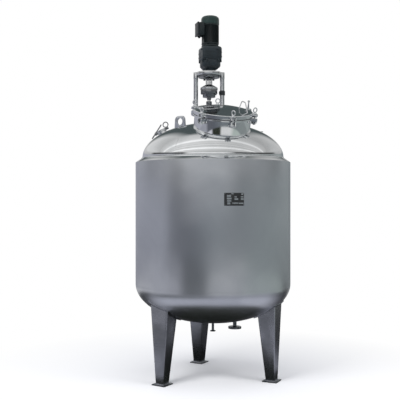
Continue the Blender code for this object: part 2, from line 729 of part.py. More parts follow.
def make_hinge(hinge):
    angle = radians(HINGE_ANGLE)
    pin_shape = bmesh.new()
    across = Matrix.Rotation(pi / 2, 4, "X")
    add_rod(pin_shape, HINGE_PIN_RADIUS, HINGE_PIN_LENGTH, across)
    pin = from_shape("hinge_pin", pin_shape, BRIGHT)
    place(pin, around(angle, HINGE_CIRCLE, FORK_MIDDLE).to_translation(), (0, 0, angle), MANHOLE)

    arm_start = COVER_RADIUS + GAP - HINGE_CIRCLE
    shape = bmesh.new()
    add_box(shape, (-arm_start, HINGE_ARM_WIDTH, HINGE_ARM_THICK), Matrix.Translation((arm_start / 2, 0, 0)))
    arm = from_shape("cover_hinge_arm", shape, POLISHED)
    place(arm, (0, 0, 0), (0, 0, angle), hinge)
    eye_shape = bmesh.new()
    add_rod(eye_shape, HINGE_EYE_RADIUS, HINGE_ARM_WIDTH, across)
    eye = as_cutter(from_shape("hinge_eye", eye_shape, None, CUTTERS))
    place(eye, (0, 0, 0), (0, 0, angle), hinge)
    combine(arm, eye, "UNION")
    hole_shape = bmesh.new()
    add_rod(hole_shape, HINGE_PIN_RADIUS + GAP, 2 * HINGE_ARM_WIDTH, across)
    hole = as_cutter(from_shape("arm_pin_hole", hole_shape, None, CUTTERS))
    place(hole, (0, 0, 0), (0, 0, angle), hinge)
    cut(arm, hole)

    base = HINGE_EYE_RADIUS - BURY / 2
    ball_centre = base + KNOB_HEIGHT
    profile = [(0.0, ball_centre + KNOB_RADIUS)]
    for step in range(1, CAP_RINGS + 1):
        turn = pi / 2 - step * radians(35.0)
        profile.append((KNOB_RADIUS * cos(turn), ball_centre + KNOB_RADIUS * sin(turn)))
    profile += [(KNOB_NECK_RADIUS, ball_centre - KNOB_RADIUS * 1.5), (KNOB_FOOT_RADIUS, base), (0.0, base)]
    knob = lathe("knob_profile", profile, ROD_SEGMENTS, None, CUTTERS)
    shift = Matrix.Rotation(angle, 3, "Z") @ Vector((-KNOB_SHIFT, 0, 0))
    place(as_cutter(knob), shift, (0, 0, angle), hinge)
    combine(arm, knob, "UNION")


def make_cover_handle(hinge):
    x, y, z = cover_place(COVER_SEAT + COVER_RIM + COVER_CROWN)
    curve = bpy.data.curves.new("handle_route", "CURVE")
    curve.dimensions = "3D"
    curve.bevel_depth = HANDLE_ROD
    curve.bevel_resolution = 2
    curve.use_fill_caps = True
    corner = Vector((HANDLE_TOP_SPAN / 2, HANDLE_HEIGHT))
    leg = Vector((HANDLE_SPAN / 2, 0.0)) - corner
    foot = corner + leg * (1 + HANDLE_ROOT / HANDLE_HEIGHT)
    before = corner + leg.normalized() * HANDLE_CORNER
    after = corner - Vector((HANDLE_CORNER, 0.0))
    right = [foot, before, (before + after + 2 * corner) / 4, after]
    route = [(-across, up) for across, up in right] + right[::-1]
    spline = curve.splines.new("POLY")
    spline.points.add(len(route) - 1)
    for point, (across, up) in zip(spline.points, route):
        point.co = (across, 0, up, 1)
    source = bpy.data.objects.new("handle_route", curve)
    TANK.objects.link(source)
    bpy.context.view_layer.update()
    evaluated = source.evaluated_get(bpy.context.evaluated_depsgraph_get())
    mesh = bpy.data.meshes.new_from_object(evaluated)
    bpy.data.objects.remove(source, do_unlink=True)
    shape = bmesh.new()
    shape.from_mesh(mesh)
    bmesh.ops.remove_doubles(shape, verts=shape.verts, dist=0.00001)
    shape.to_mesh(mesh)
    shape.free()
    handle = add_object("cover_handle", mesh, BRIGHT)
    angle = radians(HANDLE_ANGLE)
    spot = (x + HANDLE_OFFSET * cos(angle), y + HANDLE_OFFSET * sin(angle), z - HANDLE_SINK)
    place(handle, spot, (0, 0, radians(HANDLE_YAW)), hinge)
    edge = COVER_RADIUS - COVER_ROUND
    profile = crown_arc(edge, COVER_SEAT + COVER_RIM + GAP) + [(edge, 0.0), (0.0, 0.0)]
    face = lathe("cover_face", profile, NECK_SEGMENTS, None, CUTTERS)
    place(as_cutter(face), cover_place(), parent=hinge)
    cut(handle, face)


def make_manhole():
    make_manhole_neck()
    make_swing_bolts()
    axis = around(radians(HINGE_ANGLE), HINGE_CIRCLE, FORK_MIDDLE).to_translation()
    hinge = empty("cover_hinge_axis", axis, parent=MANHOLE)
    cover = make_cover(hinge)
    add_eye_nuts(cover, hinge)
    make_hinge(hinge)
    make_cover_handle(hinge)


def drive(item):
    return place(item, (DRIVE_X, DRIVE_Y, 0))


def geared(item):
    return place(item, parent=GEAR_FRAME)


def make_drive_stand():
    neck = drive(tube("drive_neck", DRIVE_NECK_RADIUS, DRIVE_NECK_RADIUS - DRIVE_NECK_WALL,
                      VESSEL_TOP, DRIVE_FLANGE_TOP - DRIVE_FLANGE_THICK - GAP, DRUM_SEGMENTS, POLISHED))
    cut(neck, DOME_FACE)
    drive(tube("drive_flange", DRIVE_FLANGE_RADIUS, SHAFT_RADIUS + FLANGE_BORE_CLEARANCE,
               DRIVE_FLANGE_TOP - DRIVE_FLANGE_THICK, DRIVE_FLANGE_TOP, DRUM_SEGMENTS, BRIGHT))
    bore = SHAFT_RADIUS + SHAFT_CLEARANCE
    foot_top = DRIVE_FLANGE_TOP + GAP + SEAL_FOOT_THICK
    seal = [(SEAL_NOSE_RADIUS, SEAL_TOP), (SEAL_NOSE_RADIUS, foot_top), (SEAL_RADIUS, foot_top),
            (SEAL_RADIUS, DRIVE_FLANGE_TOP + GAP), (bore, DRIVE_FLANGE_TOP + GAP), (bore, SEAL_TOP)]
    drive(lathe("shaft_seal", seal, DRUM_SEGMENTS, DARK, closed=True))
    plate_bottom = TOP_PLATE_TOP - TOP_PLATE_THICK
    rim_bottom = TOP_PLATE_TOP - TOP_PLATE_RIM
    outline = [(TOP_PLATE_RADIUS, TOP_PLATE_TOP), (TOP_PLATE_RADIUS, rim_bottom),
               (TOP_PLATE_BOSS_RADIUS, rim_bottom), (TOP_PLATE_BOSS_RADIUS, plate_bottom),
               (TOP_PLATE_BORE, plate_bottom), (TOP_PLATE_BORE, TOP_PLATE_TOP)]
    plate = drive(lathe("stand_top_plate", outline, DRUM_SEGMENTS, BRIGHT, closed=True))
    profile = [(0.0, TOP_PLATE_TOP), (POST_RADIUS - POST_CHAMFER, TOP_PLATE_TOP),
               (POST_RADIUS, TOP_PLATE_TOP - POST_CHAMFER), (POST_RADIUS, DRIVE_FLANGE_TOP + GAP),
               (0.0, DRIVE_FLANGE_TOP + GAP)]
    for side, name in ((-1, "left"), (1, "right")):
        spot = (DRIVE_X + side * POST_SPACING / 2, DRIVE_Y, 0)
        place(lathe("stand_post_" + name, profile, DRUM_SEGMENTS, BRIGHT), spot)
        notch = disc("post_notch_" + name, POST_RADIUS + GAP, plate_bottom - BURY, TOP_PLATE_TOP + BURY,
                     DRUM_SEGMENTS, None, CUTTERS)
        cut(plate, place(as_cutter(notch), spot))


def make_shaft():
    """Pieces that turn: shaft, coupling halves and impeller."""
    hub_bottom = SHAFT_BOTTOM + GAP
    drive(disc("agitator_shaft", SHAFT_RADIUS, SHAFT_BOTTOM, LOWER_HUB_BOTTOM - GAP, ROD_SEGMENTS, BRIGHT))
    lower = [(0.0, HALF_SPLIT - GAP), (HALF_LOWER_RADIUS, HALF_SPLIT - GAP),
             (HALF_LOWER_RADIUS, HALF_LOWER_NOSE), (HALF_LOWER_NOSE_RADIUS, HALF_LOWER_NOSE),
             (HALF_LOWER_NOSE_RADIUS, HALF_LOWER_BOTTOM), (LOWER_HUB_RADIUS, HALF_LOWER_BOTTOM),
             (LOWER_HUB_FOOT, LOWER_HUB_BOTTOM), (0.0, LOWER_HUB_BOTTOM)]
    drive(lathe("coupling_lower_half", lower, DRUM_SEGMENTS, DARK))
    upper = [(0.0, TOP_PLATE_TOP), (OUTPUT_RADIUS, TOP_PLATE_TOP), (OUTPUT_RADIUS, HUB_TOP + HUB_CHAMFER),
             (HUB_RADIUS, HUB_TOP), (HUB_RADIUS, HALF_UPPER_TOP),
             (HALF_UPPER_RADIUS, HALF_SPLIT + HALF_UPPER_RIM), (HALF_UPPER_RADIUS, HALF_SPLIT),
             (0.0, HALF_SPLIT)]
    drive(lathe("coupling_upper_half", upper, DRUM_SEGMENTS, BRIGHT))
    hub = drive(tube("impeller", IMPELLER_HUB_RADIUS, SHAFT_RADIUS + GAP, hub_bottom,
                     hub_bottom + IMPELLER_HUB_HEIGHT, DRUM_SEGMENTS, POLISHED))
    shape = bmesh.new()
    middle = hub_bottom + IMPELLER_HUB_HEIGHT / 2
    start = IMPELLER_HUB_RADIUS - BURY * 2
    length = IMPELLER_RADIUS - start
    for number in range(IMPELLER_BLADES):
        turn = Matrix.Rotation(2 * pi * number / IMPELLER_BLADES, 4, "Z")
        spot = turn @ Matrix.Translation((start + length / 2, 0, middle))
        pitch = Matrix.Rotation(radians(BLADE_PITCH), 4, "X")
        add_box(shape, (length, BLADE_WIDTH, BLADE_THICK), spot @ pitch)
    blades = drive(as_cutter(from_shape("impeller_blades", shape, None, CUTTERS)))
    combine(hub, blades, "UNION")


def make_gear_motor():
    neck_bottom = TOP_PLATE_TOP + GAP
    body_bottom = neck_bottom + GEARBOX_NECK
    lower = box("gearbox", (GEARBOX_BOTTOM_WIDTH, GEARBOX_BOTTOM_WIDTH, GEARBOX_SPLIT - body_bottom),
                (0, 0, (GEARBOX_SPLIT + body_bottom) / 2), SLATE)
    geared(lower)
    chamfer = lower.modifiers.new("chamfer", "BEVEL")
    chamfer.width = GEARBOX_CHAMFER
    chamfer.segments = 1
    chamfer.limit_method = "ANGLE"
    neck = disc("gearbox_neck", GEARBOX_NECK_RADIUS, neck_bottom, body_bottom + GEARBOX_CHAMFER,
                DRUM_SEGMENTS, None, CUTTERS)
    combine(lower, drive(as_cutter(neck)), "UNION")
    crown_bottom = GEARBOX_SPLIT - GEARBOX_RIM
    crown = box("gearbox_crown", (GEARBOX_TOP_WIDTH, GEARBOX_TOP_WIDTH, GEARBOX_TOP - crown_bottom),
                (0, 0, (GEARBOX_TOP + crown_bottom) / 2), None, CUTTERS)
    soften = crown.modifiers.new("soften", "BEVEL")
    soften.width = GEARBOX_CROWN_ROUND
    soften.segments = GEARBOX_CROWN_STEPS
    soften.limit_method = "ANGLE"
    combine(lower, geared(as_cutter(crown)), "UNION")
    geared(disc("motor", MOTOR_RADIUS, GEARBOX_TOP + GAP, MOTOR_TOP, DRUM_SEGMENTS, GREEN))
    cowl = [(0.0, COWL_TOP)]
    flat = COWL_RADIUS - COWL_ROUND
    for step in range(CAP_RINGS + 1):
        angle = pi / 2 * (1 - step / CAP_RINGS)
        cowl.append((flat + COWL_ROUND * cos(angle), COWL_TOP - COWL_ROUND + COWL_ROUND * sin(angle)))
    cowl += [(COWL_RADIUS, MOTOR_TOP + GAP), (0.0, MOTOR_TOP + GAP)]
    geared(lathe("fan_cowl", cowl, DRUM_SEGMENTS, GREEN))
    outer_face = MOTOR_RADIUS + TERMINAL_PAD + TERMINAL_DEPTH - TERMINAL_LID
    middle = (TERMINAL_TOP + TERMINAL_BOTTOM) / 2
    body = box("terminal_box", (outer_face, TERMINAL_WIDTH, TERMINAL_HEIGHT), (-outer_face / 2, 0, middle),
               GREEN)
    geared(body)
    relief = disc("motor_face", MOTOR_RADIUS + GAP, GEARBOX_TOP, MOTOR_TOP + 2 * GAP, DRUM_SEGMENTS,
                  None, CUTTERS)
    cut(body, geared(as_cutter(relief)))
    cowl_face = disc("cowl_face", COWL_RADIUS + GAP, MOTOR_TOP, COWL_TOP, DRUM_SEGMENTS, None, CUTTERS)
    cut(body, geared(as_cutter(cowl_face)))
    lid_size = (TERMINAL_LID, TERMINAL_WIDTH + 2 * TERMINAL_LID_LIP, TERMINAL_HEIGHT + 2 * TERMINAL_LID_LIP)
    lid = box("terminal_lid", lid_size, (-(outer_face + GAP + TERMINAL_LID / 2), 0, middle), LID_GREY)
    geared(lid)


def make_lifting_eyes():
    for name, azimuth, yaw in EYES:
        x, y = polar(azimuth, EYE_CIRCLE)
        bottom = head_height(x, y) - EYE_BURY
        top = head_height(x, y) + EYE_RISE
        half = EYE_BASE_WIDTH / 2
        hole_height = top - EYE_HOLE_DROP
        curve = bpy.data.curves.new("eye_outline_" + name, "CURVE")
        curve.dimensions = "2D"
        curve.fill_mode = "BOTH"
        curve.extrude = EYE_THICK / 2
        outline = [(-half, bottom), (half, bottom)]
        for side, start in ((1, 0.0), (-1, pi / 2)):
            middle = side * (EYE_TOP_WIDTH / 2 - EYE_CORNER)
            for step in range(EYE_CORNER_STEPS + 1):
                angle = start + pi / 2 * step / EYE_CORNER_STEPS
                outline.append((middle + EYE_CORNER * cos(angle), top - EYE_CORNER * (1 - sin(angle))))
        turns = [2 * pi * step / EYE_HOLE_STEPS for step in range(EYE_HOLE_STEPS)]
        hole = [(EYE_HOLE * cos(turn), hole_height + EYE_HOLE * sin(turn)) for turn in turns]
        for points in (outline, hole):
            spline = curve.splines.new("POLY")
            spline.points.add(len(points) - 1)
            spline.use_cyclic_u = True
            for point, (across, up) in zip(spline.points, points):
                point.co = (across, up, 0, 1)
        source = bpy.data.objects.new("eye_source", curve)
        TANK.objects.link(source)
        bpy.context.view_layer.update()
        evaluated = source.evaluated_get(bpy.context.evaluated_depsgraph_get())
        mesh = bpy.data.meshes.new_from_object(evaluated)
        bpy.data.objects.remove(source, do_unlink=True)
        shape = bmesh.new()
        shape.from_mesh(mesh)
        bmesh.ops.remove_doubles(shape, verts=shape.verts, dist=0.00001)
        bmesh.ops.rotate(shape, verts=shape.verts, cent=(0, 0, 0), matrix=Matrix.Rotation(pi / 2, 3, "X"))
        shape.to_mesh(mesh)
        shape.free()
        eye = add_object("lifting_eye_" + name, mesh, SATIN)
        place(eye, (x, y, 0), (0, 0, radians(yaw)))
        cut(eye, DOME_FACE)


def make_port():
    bore = PORT_RADIUS - PORT_WALL
    rim_bottom = PORT_HEIGHT - PORT_RIM_THICK
    profile = [(PORT_RIM_RADIUS, PORT_HEIGHT), (PORT_RIM_RADIUS, rim_bottom), (PORT_RADIUS, rim_bottom),
               (PORT_RADIUS, -ROOT_DEPTH), (bore, -ROOT_DEPTH), (bore, PORT_HEIGHT)]
    neck = lathe("port_neck", profile, DRUM_SEGMENTS, POLISHED, closed=True)
    place(neck, parent=PORT)
    cut(neck, DOME_FACE)
    cap_bottom = PORT_HEIGHT + GAP
    cap_top = cap_bottom + PORT_CAP_THICK
    crown = [(PORT_RADIUS * share, cap_top + PORT_CAP_CROWN * (1 - share ** 2)) for share in (0.0, 0.5, 1.0)]
    cap_profile = crown + [(PORT_RIM_RADIUS, cap_top), (PORT_RIM_RADIUS, cap_bottom), (0.0, cap_bottom)]
    cap = lathe("port_cap", cap_profile, DRUM_SEGMENTS, BRIGHT)
    place(cap, parent=PORT)
    middle = (PORT_HEIGHT - PORT_RIM_THICK + cap_top) / 2
    height = cap_top - PORT_HEIGHT + PORT_RIM_THICK
    spot = Vector((PORT_RIM_RADIUS + GAP + CLAMP_REACH / 2, 0, middle))
    lever = spot + Vector((0, 0, LEVER_LIFT))
    tilt = Matrix.Rotation(radians(LEVER_TILT), 4, "Y")
    ring_drop = LEVER_DOWN - CLAMP_RING_RADIUS - CLAMP_RING_ROD
    lying = Matrix.Rotation(radians(LEVER_RING_TURN), 4, "Z") @ Matrix.Rotation(pi / 2, 4, "Y")
    ring_lift = CLAMP_ROD_HEIGHT + CLAMP_RING_RADIUS - BURY / 2
    for name, angle, rod, rod_bottom, rod_top, centre, turn, ring_spot, ring_turn in (
            ("uphill", 90.0, CLAMP_ROD, 0.0, CLAMP_ROD_HEIGHT, spot, Matrix.Identity(4),
             spot + Vector((0, 0, ring_lift)), Matrix.Rotation(pi / 2, 4, "X")),
            ("downhill", -90.0, LEVER_ROD, -LEVER_DOWN, LEVER_UP, lever, tilt,
             lever + tilt @ Vector((0, 0, -ring_drop)), tilt @ lying)):
        frame = empty("clamp_frame_" + name, (0, 0, 0), (0, 0, radians(angle)), PORT)
        shape = bmesh.new()
        add_box(shape, (CLAMP_REACH, CLAMP_WIDTH, height), Matrix.Translation(spot))
        clamp = from_shape("port_clamp_" + name, shape, DARK)
        place(clamp, parent=frame)
        pole = disc("clamp_rod_" + name, rod, rod_bottom, rod_top, ROD_SEGMENTS, None, CUTTERS)
        place(as_cutter(pole), centre, turn.to_euler(), frame)
        combine(clamp, pole, "UNION")
        ring = ring_cutter("clamp_ring_" + name, CLAMP_RING_RADIUS, CLAMP_RING_ROD)
        place(ring, ring_spot, ring_turn.to_euler(), frame)
        combine(clamp, ring, "UNION")


def make_vent():
    bottom = VENT_TOP - VENT_RISE - ROOT_DEPTH
    bore = VENT_RADIUS - VENT_WALL
    step = VENT_TOP - VENT_FLANGE_THICK
    profile = [(VENT_FLANGE_RADIUS, VENT_TOP), (VENT_FLANGE_RADIUS, step), (VENT_RADIUS, step),
               (VENT_RADIUS, bottom), (bore, bottom), (bore, VENT_TOP)]
    nozzle = lathe("vent_nozzle", profile, DRUM_SEGMENTS, POLISHED, closed=True)
    place(nozzle, (VENT_X, VENT_Y, 0))
    cut(nozzle, DOME_FACE)


def make_bottom_nozzle(name, x, radius, wall, flange_radius, flange_thick, bottom):
    top = vessel_floor(x) + VESSEL_WALL
    step = bottom + flange_thick
    profile = [(radius, top), (radius, step), (flange_radius, step), (flange_radius, bottom),
               (radius - wall, bottom), (radius - wall, top)]
    nozzle = lathe(name, profile, DRUM_SEGMENTS, POLISHED, closed=True)
    place(nozzle, (x, 0, 0))


def vessel_floor(x):
    return JACKET_BOTTOM - VESSEL_HEAD_DEPTH * sqrt(1 - (x / VESSEL_RADIUS) ** 2)


def make_nameplate():
    back = JACKET_RADIUS + GAP
    plate = tube("nameplate", back + PLATE_THICK, back, PLATE_CENTRE - PLATE_HEIGHT / 2,
                 PLATE_CENTRE + PLATE_HEIGHT / 2, SHELL_SEGMENTS, PLATE_BLACK)
    window = box("plate_window", (PLATE_WIDTH, JACKET_RADIUS, 2 * PLATE_HEIGHT),
                 (0, -JACKET_RADIUS, PLATE_CENTRE), None, CUTTERS)
    place(as_cutter(window), (0, 0, 0), (0, 0, radians(PLATE_AZIMUTH)))
    combine(plate, window, "INTERSECT")


# Holes that the pipes and necks need in the heads.
MANHOLE_HOLE = through_cutter("manhole_hole", MANHOLE_RADIUS - MANHOLE_WALL, -MANHOLE_RADIUS,
                              MANHOLE_HEIGHT, NECK_SEGMENTS, MANHOLE)
PORT_HOLE = through_cutter("port_hole", PORT_RADIUS - PORT_WALL, -ROOT_DEPTH, PORT_HEIGHT, DRUM_SEGMENTS,
                           PORT)
DRIVE_HOLE = through_cutter("drive_hole", DRIVE_NECK_RADIUS - DRIVE_NECK_WALL, VESSEL_TOP, TOP_PLATE_TOP,
                            DRUM_SEGMENTS, None, (DRIVE_X, DRIVE_Y, 0))
VENT_HOLE = through_cutter("vent_hole", VENT_RADIUS - VENT_WALL, VESSEL_TOP, VENT_TOP, ROD_SEGMENTS,
                           None, (VENT_X, VENT_Y, 0))
DRAIN_HOLE = through_cutter("drain_hole", DRAIN_RADIUS + GAP, DRAIN_BOTTOM, JACKET_BOTTOM, DRUM_SEGMENTS)
OUTLET_HOLE = through_cutter("outlet_hole", OUTLET_RADIUS + GAP, OUTLET_BOTTOM, JACKET_BOTTOM,
                             DRUM_SEGMENTS, None, (OUTLET_X, 0, 0))

make_jacket()
make_vessel()
make_legs()
make_manhole()
make_drive_stand()
make_shaft()
make_gear_motor()
make_lifting_eyes()
make_port()
make_vent()
make_bottom_nozzle("drain_nozzle", 0.0, DRAIN_RADIUS, DRAIN_WALL, DRAIN_FLANGE_RADIUS, DRAIN_FLANGE_THICK,
                   DRAIN_BOTTOM)
make_bottom_nozzle("outlet_nozzle", OUTLET_X, OUTLET_RADIUS, OUTLET_WALL, OUTLET_FLANGE_RADIUS,
                   OUTLET_FLANGE_THICK, OUTLET_BOTTOM)
make_nameplate()
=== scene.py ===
# %% [markdown]
# # A jacketed mixing tank
#
# The construction of this tank is already there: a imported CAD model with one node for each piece.
# This lesson gives each piece its finished shape and surface. It starts by loading that model as a
# fixed frame, so that every new piece can take its size and its place from the node it stands for.

# %% Load the frame
import json

from math import atan, cos, degrees, pi, radians, sin, sqrt

import bmesh
import bpy
from mathutils import Matrix, Vector

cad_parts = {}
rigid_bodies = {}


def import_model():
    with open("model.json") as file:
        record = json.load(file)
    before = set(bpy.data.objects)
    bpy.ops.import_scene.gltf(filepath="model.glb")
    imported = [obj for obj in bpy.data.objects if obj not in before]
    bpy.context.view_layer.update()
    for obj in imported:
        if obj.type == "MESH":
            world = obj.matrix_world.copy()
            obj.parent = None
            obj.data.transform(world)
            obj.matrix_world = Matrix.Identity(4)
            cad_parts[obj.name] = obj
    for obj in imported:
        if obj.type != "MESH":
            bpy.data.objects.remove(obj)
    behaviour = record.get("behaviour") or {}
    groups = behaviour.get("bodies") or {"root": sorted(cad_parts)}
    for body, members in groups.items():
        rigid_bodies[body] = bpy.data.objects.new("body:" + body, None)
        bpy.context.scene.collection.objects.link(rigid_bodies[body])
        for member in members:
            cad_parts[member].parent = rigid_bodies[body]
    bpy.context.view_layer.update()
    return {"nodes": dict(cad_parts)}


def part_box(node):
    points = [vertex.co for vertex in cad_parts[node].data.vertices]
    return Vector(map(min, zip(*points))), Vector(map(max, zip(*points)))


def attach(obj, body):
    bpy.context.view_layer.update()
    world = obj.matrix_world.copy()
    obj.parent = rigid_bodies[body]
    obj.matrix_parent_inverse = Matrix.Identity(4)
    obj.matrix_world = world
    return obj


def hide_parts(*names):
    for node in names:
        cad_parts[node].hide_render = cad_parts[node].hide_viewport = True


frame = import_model()

# %% [markdown]
# ## Helpers for the shapes
#
# Most of a tank is turned: shells, heads, flanges and nozzles are all a profile spun about an axis.
# A real turned edge is never knife-sharp, so a small helper rounds the corners of a profile before
# it is spun. The finished mesh lies at the origin with its place in its vertices, as the CAD nodes do.

# %% Turned shapes
AXIS = Vector((0.0, 0.0, 1.0))
FINE = 144
MIDDLING = 64
SMALL = 24


def rounded(points, radius, steps=3, closed=False):
    """The (r, z) line with an arc of about this radius at each corner."""
    line = []
    for number, point in enumerate(points):
        corner = Vector(point)
        if not closed and number in (0, len(points) - 1):
            line.append(corner)
            continue
        before = Vector(points[number - 1]) - corner
        after = Vector(points[(number + 1) % len(points)]) - corner
        reach = min(radius, before.length * 0.45, after.length * 0.45)
        start = corner + before.normalized() * reach
        end = corner + after.normalized() * reach
        for step in range(steps + 1):
            share = step / steps
            line.append(start * (1 - share) ** 2 + corner * 2 * share * (1 - share) + end * share ** 2)
    return line


def turned(points, steps=MIDDLING, closed=False):
    """A profile of (r, z) points spun once about Z."""
    shape = bmesh.new()
    verts = [shape.verts.new((point[0], 0.0, point[1])) for point in points]
    edges = [shape.edges.new(pair) for pair in zip(verts, verts[1:])]
    if closed:
        edges.append(shape.edges.new((verts[-1], verts[0])))
    bmesh.ops.spin(shape, geom=verts + edges, cent=(0, 0, 0), axis=AXIS, angle=2 * pi, steps=steps,
                   use_merge=True)
    bmesh.ops.remove_doubles(shape, verts=shape.verts, dist=0.00001)
    bmesh.ops.recalc_face_normals(shape, faces=shape.faces)
    return shape


def hollow(profile, edge, steps=MIDDLING):
    """A closed profile, rounded and spun."""
    return turned(rounded(profile, edge, closed=True), steps, closed=True)


def drum(radius, bottom, top, edge=0.001, steps=SMALL):
    """A solid turned piece with rounded rims."""
    profile = [(0, top), (radius, top), (radius, bottom), (0, bottom)]
    return turned(rounded(profile, edge), steps)


def pipe(outer, inner, bottom, top, edge=0.001, steps=MIDDLING):
    """A hollow turned piece with rounded rims."""
    profile = [(outer, top), (outer, bottom), (inner, bottom), (inner, top)]
    return hollow(profile, edge, steps)


def torus(radius, rod, steps=40, sides=12):
    """A ring of round bar that lies flat on XY."""
    turns = [2 * pi * side / sides for side in range(sides)]
    return turned([(radius + rod * cos(turn), rod * sin(turn)) for turn in turns], steps, closed=True)


# %% [markdown]
# ## Helpers for flat and bent pieces
#
# Blocks, plates cut from an outline, hexagon heads and bent rods make up the rest. Each helper returns
# a bmesh, and `add` moves it to its place and joins it to the piece that it belongs to.

# %% Blocks, plates, hexagons and bars
def soften(shape, edges, offset, segments=2):
    """Round some edges of a bmesh."""
    bmesh.ops.bevel(shape, geom=edges, offset=offset, segments=segments, profile=0.5, affect="EDGES",
                    material=-1)


def block(size, edge=0.001, steps=2):
    """A box about the origin with bevelled edges."""
    shape = bmesh.new()
    bmesh.ops.create_cube(shape, size=1.0, matrix=Matrix.Diagonal((*size, 1.0)))
    if edge:
        soften(shape, shape.edges[:], edge, steps)
    return shape


def plate(outline, thick, edge=0.0008):
    """A flat outline on XZ, extruded along Y to both sides."""
    shape = bmesh.new()
    face = shape.faces.new([shape.verts.new((x, -thick / 2, z)) for x, z in outline])
    grown = bmesh.ops.extrude_face_region(shape, geom=[face])["geom"]
    moved = [item for item in grown if isinstance(item, bmesh.types.BMVert)]
    bmesh.ops.translate(shape, verts=moved, vec=(0, thick, 0))
    bmesh.ops.recalc_face_normals(shape, faces=shape.faces)
    if edge:
        soften(shape, sharp_edges(shape, radians(50)), edge)
    return shape


def sharp_edges(shape, angle=1.0):
    """Edges whose faces meet at more than an angle in radians."""
    return [edge for edge in shape.edges if edge.calc_face_angle(0) > angle]


def upright_edges(shape, least):
    """Edges that rise by more than a length."""
    return [edge for edge in shape.edges if abs(edge.verts[0].co.z - edge.verts[1].co.z) > least]


def hexagon(across, height):
    """A hexagon head or nut that stands on XY."""
    shape = bmesh.new()
    radius = across / sqrt(3)
    bmesh.ops.create_cone(shape, cap_ends=True, segments=6, radius1=radius, radius2=radius, depth=height,
                          matrix=Matrix.Translation((0, 0, height / 2)))
    soften(shape, shape.edges[:], across * 0.05)
    return shape


def evaluated(item):
    """A bmesh of an object as its curve or modifiers make it."""
    bpy.context.view_layer.update()
    mesh = bpy.data.meshes.new_from_object(item.evaluated_get(bpy.context.evaluated_depsgraph_get()))
    shape = bmesh.new()
    shape.from_mesh(mesh)
    bpy.data.meshes.remove(mesh)
    return shape


def bar(points, radius, closed=False):
    """A round bar that follows a line of points."""
    curve = bpy.data.curves.new("bar", "CURVE")
    curve.dimensions = "3D"
    curve.bevel_depth = radius
    curve.bevel_resolution = 3
    curve.use_fill_caps = not closed
    spline = curve.splines.new("POLY")
    spline.points.add(len(points) - 1)
    for point, place in zip(spline.points, points):
        point.co = (*place, 1.0)
    spline.use_cyclic_u = closed
    holder = bpy.data.objects.new("bar", curve)
    bpy.context.scene.collection.objects.link(holder)
    shape = evaluated(holder)
    bpy.data.objects.remove(holder)
    bmesh.ops.remove_doubles(shape, verts=shape.verts, dist=0.00001)
    bmesh.ops.recalc_face_normals(shape, faces=shape.faces)
    return shape


def arc(centre, radius, start, end, steps):
    """(x, z) points on an arc, in degrees."""
    turns = [radians(start + (end - start) * step / steps) for step in range(steps + 1)]
    return [(centre[0] + radius * cos(turn), centre[1] + radius * sin(turn)) for turn in turns]


# %% [markdown]
# ## Putting pieces together
#
# A finished piece is one object that rides on a body of the frame and hides the CAD nodes it stands
# for. Cuts go through the exact Boolean on throwaway objects, so nothing is left live on the piece.

# %% Join, cut and finish
def move(x=0.0, y=0.0, z=0.0):
    """Matrix for a shift in metres."""
    return Matrix.Translation((x, y, z))


def turn(angle, axis="Z"):
    """Matrix for a turn in degrees about an axis."""
    return Matrix.Rotation(radians(angle), 4, axis)


def placed(shape, place):
    """Move a bmesh by a matrix and hand it back."""
    shape.transform(place)
    return shape


def add(shape, part, *places):
    """Move a bmesh by one or more matrices, the last first, and join it to another."""
    for place in reversed(places):
        part.transform(place)
    mesh = bpy.data.meshes.new("part")
    part.to_mesh(mesh)
    part.free()
    shape.from_mesh(mesh)
    bpy.data.meshes.remove(mesh)


def heights(node):
    """Bottom and top of a CAD node."""
    low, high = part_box(node)
    return low.z, high.z


def centre_of(node):
    """Matrix to the middle of a CAD node in plan."""
    low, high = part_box(node)
    return move((low.x + high.x) / 2, (low.y + high.y) / 2)


def object_of(shape, name):
    """An object made of a bmesh, which is used up."""
    mesh = bpy.data.meshes.new(name)
    shape.to_mesh(mesh)
    shape.free()
    item = bpy.data.objects.new(name, mesh)
    bpy.context.scene.collection.objects.link(item)
    return item


def cut(shape, *cutters, operation="DIFFERENCE"):
    """What is left of a bmesh after cutting others from it; the cutters are used up."""
    body = object_of(shape, "body")
    tools = [object_of(cutter, "tool") for cutter in cutters]
    for tool in tools:
        change = body.modifiers.new("cut", "BOOLEAN")
        change.operation = operation
        change.solver = "EXACT"
        change.object = tool
    result = evaluated(body)
    for item in [body] + tools:
        bpy.data.objects.remove(item)
    return result


SHARP_ANGLE = 32.0


def finish(name, shape, material, body="tank", nodes=(), at=None):
    """Make a finished piece of a bmesh, on its body and in place of its CAD nodes."""
    if at is not None:
        shape.transform(at)
    item = object_of(shape, name)
    item.data.materials.append(material)
    item.data.shade_smooth()
    item.data.set_sharp_from_angle(angle=radians(SHARP_ANGLE))
    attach(item, body)
    if nodes:
        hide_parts(*nodes)
    print(f"{name}: {len(item.data.polygons)} faces")
    return item


# %% [markdown]
# ## Helpers for the finishes
#
# Node trees are easier to read when a node and what feeds it are made in one line. `wire` makes a node,
# sets its fields, and links or sets its sockets.

# %% Node helpers
def plain_material(name):
    """A new material with its tree and its shader."""
    material = bpy.data.materials.new(name)
    material.use_nodes = True
    return material, material.node_tree, material.node_tree.nodes["Principled BSDF"]


def wire(tree, kind, feeds=None, **fields):
    """Make a node; feeds are sockets to link or values to set."""
    node = tree.nodes.new(kind)
    for name, value in fields.items():
        setattr(node, name, value)
    for name, value in (feeds or {}).items():
        if isinstance(value, bpy.types.NodeSocket):
            tree.links.new(value, node.inputs[name])
        else:
            node.inputs[name].default_value = value
    return node


